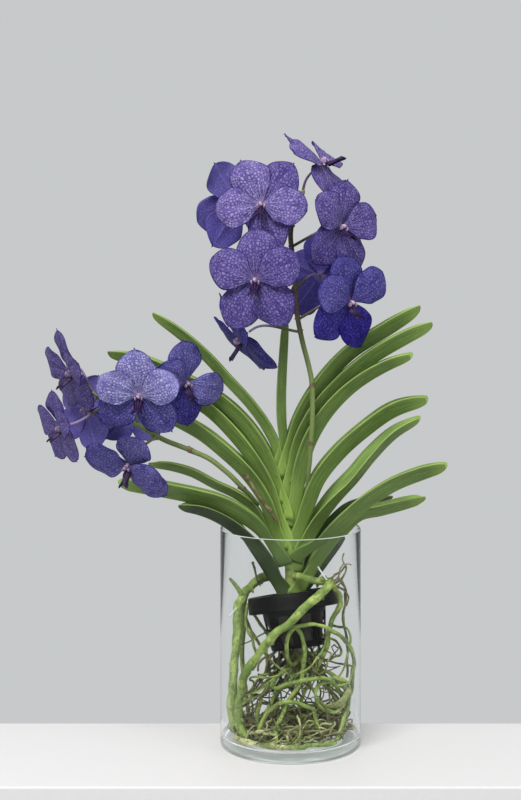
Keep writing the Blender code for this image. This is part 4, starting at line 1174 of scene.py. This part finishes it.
def make_spike(name, route, blooms, nodes, brown, finishes):
    """A flower stalk with its stalklets, which turn from its colour to lilac, and a bract at each foot."""
    skin, papery = finishes
    stalk = Piece(name + "_stalk")
    bracts = Piece(name + "_bracts")
    radii = (SPIKE_START_RADIUS, *[SPIKE_RADIUS] * 6, SPIKE_END_RADIUS)
    shares = np.linspace(0, 1, 240)
    line = curve_through(route, shares)
    ahead, _, _ = carried_frames(line)
    rings = [float(shares[np.linalg.norm(line - np.array(node), axis=1).argmin()]) for node in nodes]

    def width(share, angle):
        radius = float(np.interp(share, np.linspace(0, 1, len(radii)), radii))
        swelling = sum(hill(share, ring, 0.012) for ring in rings)
        return radius * (1 + 0.16 * swelling + 0.03 * math.sin(3 * angle + 40 * share))

    stalk.tube(route, width, lambda share, across: 0.5 * eased(*brown, share), spacing=2, around=14)
    for number, ring in enumerate(rings):
        place = int(round(ring * 239))
        turn = 1 if number % 2 else -1
        add_bract(bracts, line[place], ahead[place], (turn, -0.7, 0.2), 6, SPIKE_RADIUS + 0.2, 2.9)
    for bloom_name, bloom in blooms.items():
        stalklet = pedicel_route(bloom_name, bloom, route)
        start = np.array(stalklet[0])
        away = np.array(stalklet[1]) - start
        share = float(shares[np.linalg.norm(line - start, axis=1).argmin()])
        base_tone = 0.5 * eased(*brown, share)

        def colour(reach, across, base_tone=base_tone):
            return base_tone + (0.92 - base_tone) * eased(0.15, 0.75, reach)

        def slim(reach, angle):
            return (PEDICEL_RADIUS + 0.3 - 0.3 * reach) * (1 + 0.07 * math.sin(3 * angle + 5 * reach))

        stalk.tube(stalklet, slim, colour, spacing=1.6, around=10)
        place = int(round(share * 239))
        axis = away * 0.6 + ahead[place] * 10
        add_bract(bracts, start - away * 0.05, axis, -away, 7, SPIKE_RADIUS * 0.85, 1.5)
    stalk.done([name], [skin])
    bracts.done([name], [papery], wall=0.5, reverse=0)


def make_old_spike(papery):
    """The dry stalk of an earlier flowering: shrunken, ridged and cut across."""
    stalk = Piece("spike_old_stalk")
    bracts = Piece("spike_old_bracts")

    def shrunken(share, angle):
        return SPIKE_OLD_RADIUS * (0.9 + 0.12 * math.sin(5 * angle) + 0.1 * hill(share, 0.5, 0.04))

    stalk.tube(SPIKE_OLD, shrunken, 0.5, spacing=1.5, around=20)
    for node in NODES_OLD:
        add_bract(bracts, node, (-12, -3, 19), (-1, -1, 0), 9, SPIKE_OLD_RADIUS + 0.4, 2.6)
    stalk.done(["spike_old"], [papery])
    bracts.done(["spike_old"], [papery], wall=0.5, reverse=0)


# The roots


def knobbly(radii, seed, unevenness):
    """A root's radius along its length, with swellings and dents."""
    stations = np.linspace(0, 1, len(radii))

    def width(share, angle):
        bumps = noise.noise(Vector((share * 34, math.cos(angle) * 0.9 + seed, math.sin(angle) * 0.9)))
        swell = noise.noise(Vector((share * 12, seed, 4.0)))
        return float(np.interp(share, stations, radii)) * (1 + unevenness * (0.7 * bumps + swell))

    return width


def mottled(level, seed, spread=0.5):
    """A tone that strays along a root, so that green and brown stretches follow each other."""
    def tone(share, across):
        return min(max(level + spread * noise.noise(Vector((share * 9, seed * 1.7, 0.5))), 0), 1)

    return tone


def kinked(route, seed, amount):
    """The same route with the small bends of a real root."""
    places = curve_through(route, np.linspace(0, 1, max(int(route_length(route) / 8), 4)))
    bent = []
    for place in places:
        stray = noise.noise_vector(Vector(place) * 0.1 + Vector((seed * 3.7, 0, 0)))
        bent.append(tuple(Vector(place) + stray * amount))
    return bent


def add_buds(piece, route, chance, count, radius):
    """Short side shoots on a thick root, on the side away from the glass."""
    shares = sorted(chance.uniform(0.12, 0.95) for _ in range(count))
    for number, place in enumerate(curve_through(route, shares)):
        foot = Vector(place)
        heading = Vector([chance.gauss(0, 1) for _ in range(3)]).normalized()
        if heading.x * foot.x + heading.y * foot.y > 0:
            heading.x, heading.y = -heading.x, -heading.y
        reach = radius + chance.uniform(1.5, 5)
        ends = [foot, foot + heading * radius * 0.8, foot + heading * reach + Vector((0, 0, -1))]
        piece.tube(ends, knobbly((1.9, 1.7, 1.0), 200 + number, 0.3), 0.75, spacing=1, around=10)


def add_root(piece, route, radii, seed, unevenness, tone, spacing=2, around=10, flat=1.0):
    """A root with swellings and dents along a route."""
    piece.tube(route, knobbly(radii, seed, unevenness), tone, spacing, around, flat)


def make_thick_roots(skin, green_skin):
    chance = random.Random(BUD_SEED)
    left = Piece("root_left_skin")
    route = kinked(ROOT_LEFT, 1, 1.5)
    add_root(left, route, (ROOT_START, *[ROOT_THICK * 1.08] * 6), 1, 0.2, 0.95, 1.5, 24)
    add_buds(left, route, chance, BUDS_A_ROOT, ROOT_THICK)
    add_root(left, ROOT_LEFT_REAR, (ROOT_MIDDLE, ROOT_THIN), 2, 0.25, mottled(0.7, 2), around=16)
    add_root(
        left, ROOT_LEFT_TIP, (ROOT_MIDDLE, 1.4), 3, 0.15, lambda share, across: 1 - 0.6 * share, 1.5, 16)
    left.done(["root_left"], [skin])
    front = Piece("root_front_skin")
    route = kinked(ROOT_FRONT, 2, 1.5)
    add_root(front, route, (ROOT_START, *[ROOT_THICK] * 6), 5, 0.24, 0.97, 1.5, 24)
    add_buds(front, route, chance, BUDS_A_ROOT, ROOT_THICK)
    right = kinked(ROOT_RIGHT, 3, 1.5)
    add_root(front, right, (ROOT_MIDDLE, ROOT_THIN), 6, 0.3, mottled(0.85, 6, 0.3), around=14)
    add_root(front, kinked(ROOT_HANGING, 4, 2), (ROOT_THIN, ROOT_FINE), 7, 0.35, mottled(0.3, 7))
    for place, size in ROOT_KNUCKLES:
        middle = Vector(place)
        rise = Vector((-0.5, 0, size * 0.5))
        knuckle = [middle + rise, middle, middle - rise]
        add_root(front, knuckle, (size * 0.9, size), size * 7, 0.2, 0.9, 1, 16)
    front.done(["root_front"], [green_skin])


def wandering(chance, start, heading, steps, stride, restless, reach, low, high):
    """A route that strays inside a round space between two heights."""
    place = Vector(start)
    heading = Vector(heading).normalized()
    route = [tuple(place)]
    for _ in range(steps):
        heading += Vector([chance.gauss(0, restless) for _ in range(3)])
        radius = math.hypot(place.x, place.y)
        if radius > reach * 0.8:
            heading.x -= 0.6 * place.x / radius
            heading.y -= 0.6 * place.y / radius
        heading.z += 0.5 * eased(low + 8, low, place.z) - 0.5 * eased(high - 8, high, place.z)
        heading.normalize()
        place = place + heading * stride
        radius = math.hypot(place.x, place.y)
        if radius > reach:
            place.x *= reach / radius
            place.y *= reach / radius
        place.z = min(max(place.z, low), high)
        route.append(tuple(place))
    return route


def make_fine_roots(skin, straw, dark):
    """The tangle: a crown under the stem, green loops, the dark mass at the basket's foot and the mat."""
    chance = random.Random(ROOT_SEED)
    loops = Piece("roots_looping")
    add_root(loops, CROWN, CROWN_RADII, 12, 0.2, 0.3, around=18)
    for number, route in enumerate(LOOPING_ROOTS):
        tone = mottled(chance.uniform(0.8, 1), number, 0.3)
        add_root(loops, kinked(route, number, 2.2), (ROOT_THIN * 1.12,) * 2, 20 + number, 0.4, tone)
    for number, route in enumerate(SIDE_ROOTS):
        tone = mottled(0.6, number)
        add_root(loops, kinked(route, number, 2), (ROOT_THIN, ROOT_FINE), 30 + number, 0.4, tone)
    for number in range(WANDERING_LOOPS):
        turn = chance.uniform(0, 2 * math.pi)
        start = (9 + 8 * math.cos(turn), -11 + 8 * math.sin(turn), chance.uniform(84, 104))
        heading = (math.cos(turn), math.sin(turn), -0.4)
        route = wandering(chance, start, heading, chance.randint(12, 18), 11, 0.34, 67, 16, 128)
        radius = chance.uniform(1.0, 1.7)
        tone = mottled(chance.uniform(0.4, 0.95), number)
        add_root(loops, route, (radius, radius * 0.7), 40 + number, 0.35, tone, 2.5, 8)
    loops.done(["roots_fine"], [skin])

    pale = Piece("roots_flat_and_dry")
    for number, (route, radius) in enumerate(FLAT_ROOTS):
        radii = (radius * 0.7, radius, radius * 0.8)
        add_root(pale, route, radii, 60 + number, 0.2, 0.95, around=14, flat=0.45)
    for number, route in enumerate(DRY_ROOTS):
        add_root(pale, route, (1.5, 1.1, 0.7), 70 + number, 0.5, mottled(0.15, number, 0.3), 1.5)
    pale.done(["roots_fine"], [straw])

    mass = Piece("roots_dark_mass")
    for number in range(MASS_ROOTS):
        turn = chance.uniform(0, 2 * math.pi)
        spread = chance.uniform(4, 26)
        start = (4 + spread * math.cos(turn), -3 + spread * math.sin(turn), chance.uniform(96, 120))
        heading = (0.3 * math.cos(turn), 0.3 * math.sin(turn), -1.6)
        route = wandering(chance, start, heading, chance.randint(7, 12), 8, 0.3, 40, 34, 126)
        radius = chance.uniform(0.9, 2.0)
        tone = mottled(chance.uniform(0.1, 0.8), number)
        add_root(mass, route, (radius, radius * 0.6), number, 0.35, tone, 3.5, 6)
    for number in range(MASS_ROOTS):
        turn = chance.uniform(0, 2 * math.pi)
        start = (10 + 22 * math.cos(turn), -12 + 18 * math.sin(turn), chance.uniform(70, 104))
        heading = (0.8 * math.cos(turn), 0.8 * math.sin(turn), -1.4)
        route = wandering(chance, start, heading, chance.randint(8, 14), 9, 0.36, 64, 16, 108)
        radius = chance.uniform(0.7, 1.4)
        tone = mottled(chance.uniform(0.3, 1), number)
        add_root(mass, route, (radius, radius * 0.6), 80 + number, 0.35, tone, 3.5, 6)
    mass.done(["roots_fine"], [dark])

    mat = Piece("roots_floor_mat")
    for number in range(MAT_ROOTS):
        turn = chance.uniform(0, 2 * math.pi)
        spread = 64 * math.sqrt(chance.random())
        start = (spread * math.cos(turn), spread * math.sin(turn), chance.uniform(14.5, 30))
        heading = (-math.sin(turn), math.cos(turn), -0.2)
        steps = chance.randint(6, 12)
        route = wandering(chance, start, heading, steps, 9, 0.34, 68, 14.5, chance.uniform(17, 42))
        radius = chance.uniform(0.6, 1.7)
        tone = mottled(chance.choice((0.1, 0.6, 0.95)), number)
        add_root(mat, route, (radius, radius * 0.6), 140 + number, 0.3, tone, 4, 6)
    mat.done(["roots_fine"], [straw])


def make_ties(clear):
    for name, route in TIES.items():
        piece = Piece(name + "_stick")
        piece.tube(
            route, lambda share, angle: TIE_RADIUS * (1 + 0.08 * math.sin(4 * angle)), 0.5, spacing=1.2)
        piece.done([name], [clear])


# The studio


def set_camera():
    """A level camera; its lens and shift put the horizon on the photograph's row."""
    data = bpy.data.cameras.new("camera")
    data.sensor_fit = "VERTICAL"
    data.sensor_height = 36
    data.lens = FOCAL_PIXELS / PHOTO_HEIGHT * 36
    data.shift_y = -(PHOTO_HEIGHT / 2 - HORIZON_ROW) / PHOTO_HEIGHT
    data.clip_end = 20
    camera = bpy.data.objects.new("camera", data)
    camera.location = CAMERA_PLACE
    camera.rotation_euler = (math.radians(90), 0, 0)
    bpy.context.scene.collection.objects.link(camera)
    bpy.context.scene.camera = camera


def add_light(name, place, target, size, power, colour):
    data = bpy.data.lights.new(name, "AREA")
    data.shape = "RECTANGLE"
    data.size, data.size_y = size
    data.energy = power
    data.color = colour
    light = bpy.data.objects.new(name, data)
    light.location = place
    light.rotation_euler = (Vector(target) - Vector(place)).to_track_quat("-Z", "Y").to_euler()
    bpy.context.scene.collection.objects.link(light)


def set_studio():
    """A pale shelf, soft light from above, from the right and from the front, and an even grey surround."""
    world = bpy.data.worlds.new("grey_surround")
    world.use_nodes = True
    background = world.node_tree.nodes["Background"]
    background.inputs["Color"].default_value = tint(199, 201, 202)
    background.inputs["Strength"].default_value = 1.0
    bpy.context.scene.world = world
    middle = (0, 0, 0.35)
    add_light("light_above", (-0.5, -1.1, 1.9), middle, (0.9, 0.8), 41, (1, 0.99, 0.97))
    add_light("light_right", (1.7, -1.0, 0.9), middle, (1.0, 1.4), 9, (0.97, 0.99, 1))
    add_light("light_front", (-0.3, -2.4, 0.25), middle, (1.6, 1.0), 5, (1, 1, 1))
    bpy.context.scene.view_settings.view_transform = "Standard"
    shape = bmesh.new()
    place = Matrix.Translation((0, -0.03, -0.02)) @ Matrix.Diagonal((3, 0.22, 0.04, 1))
    bmesh.ops.create_cube(shape, size=1, matrix=place)
    bmesh.ops.bevel(
        shape, geom=list(shape.edges), offset=0.002, segments=3, profile=0.5, affect="EDGES", material=-1)
    mesh = bpy.data.meshes.new("shelf")
    shape.to_mesh(mesh)
    shape.free()
    mesh.materials.append(pale_shelf())
    shelf = bpy.data.objects.new("shelf", mesh)
    bpy.context.scene.collection.objects.link(shelf)


def main():
    set_camera()
    set_studio()
    make_vase(clear_glass(), ground_rim_painted_highlight(), ground_foot_painted_glow())
    make_basket(black_plastic())
    make_stem(stem_sheath())
    green = [
        leaf_skin("leaf_face", (146, 176, 84), (124, 154, 78), (88, 116, 54), (176, 194, 112)),
        leaf_skin("leaf_back", (140, 170, 76), (104, 131, 66), (70, 92, 44), (166, 184, 104)),
    ]
    # Darker copies of the leaf skin for the lowest leaves: partly older leaves' colour, partly painted shade
    # under the fan.
    old = [
        leaf_skin("old_shaded_leaf_face", (112, 138, 66), (80, 106, 52), (46, 68, 32), (152, 166, 98)),
        leaf_skin("old_shaded_leaf_back", (78, 100, 50), (42, 60, 31), (24, 36, 20), (128, 146, 84)),
    ]
    chance = random.Random(PLANT_SEED)
    for name, leaf in LEAVES.items():
        make_leaf(name, leaf, chance, old if name in OLD_SHADED_LEAVES else green)
    stalk = [stalk_skin(), dry_bract()]
    top = {name: bloom for name, bloom in BLOOMS.items() if name.startswith("top")}
    left = {name: bloom for name, bloom in BLOOMS.items() if name.startswith("left")}
    make_spike("spike_upright", SPIKE_UPRIGHT, top, NODES_UPRIGHT, (0.42, 0.66), stalk)
    make_spike("spike_arching", SPIKE_ARCHING, left, NODES_ARCHING, (0.7, 1.3), stalk)
    make_old_spike(stalk[1])
    reverse = petal_back()
    violet = petal_face("petal_violet", (34, 22, 88), (86, 70, 134), (84, 70, 142), (164, 155, 198))
    blue = petal_face("petal_blue", (20, 10, 96), (114, 107, 170), (72, 62, 158), (188, 186, 223))
    flesh = column_flesh()
    velvet = lip_velvet()
    for name, bloom in BLOOMS.items():
        make_tepals(name, bloom, chance, [violet if name in VIOLET_BLOOMS else blue, reverse])
        make_column(name, bloom, flesh)
        make_lip(name, bloom, velvet, flesh)
    silver = root_skin("root_silver", (154, 175, 92), (100, 128, 50), (202, 210, 152), 0.45)
    olive = root_skin("root_olive", (156, 176, 90), (98, 124, 48), (202, 210, 150), 0.45)
    straw = root_skin("root_straw", (198, 202, 148), (122, 130, 74), (216, 218, 176), 0.4)
    dark = dark_root_and_shade_skin()
    noise.seed_set(BEND_SEED)
    make_thick_roots(silver, olive)
    make_packing(dark)
    make_fine_roots(olive, straw, dark)
    make_ties(clear_stick())


main()
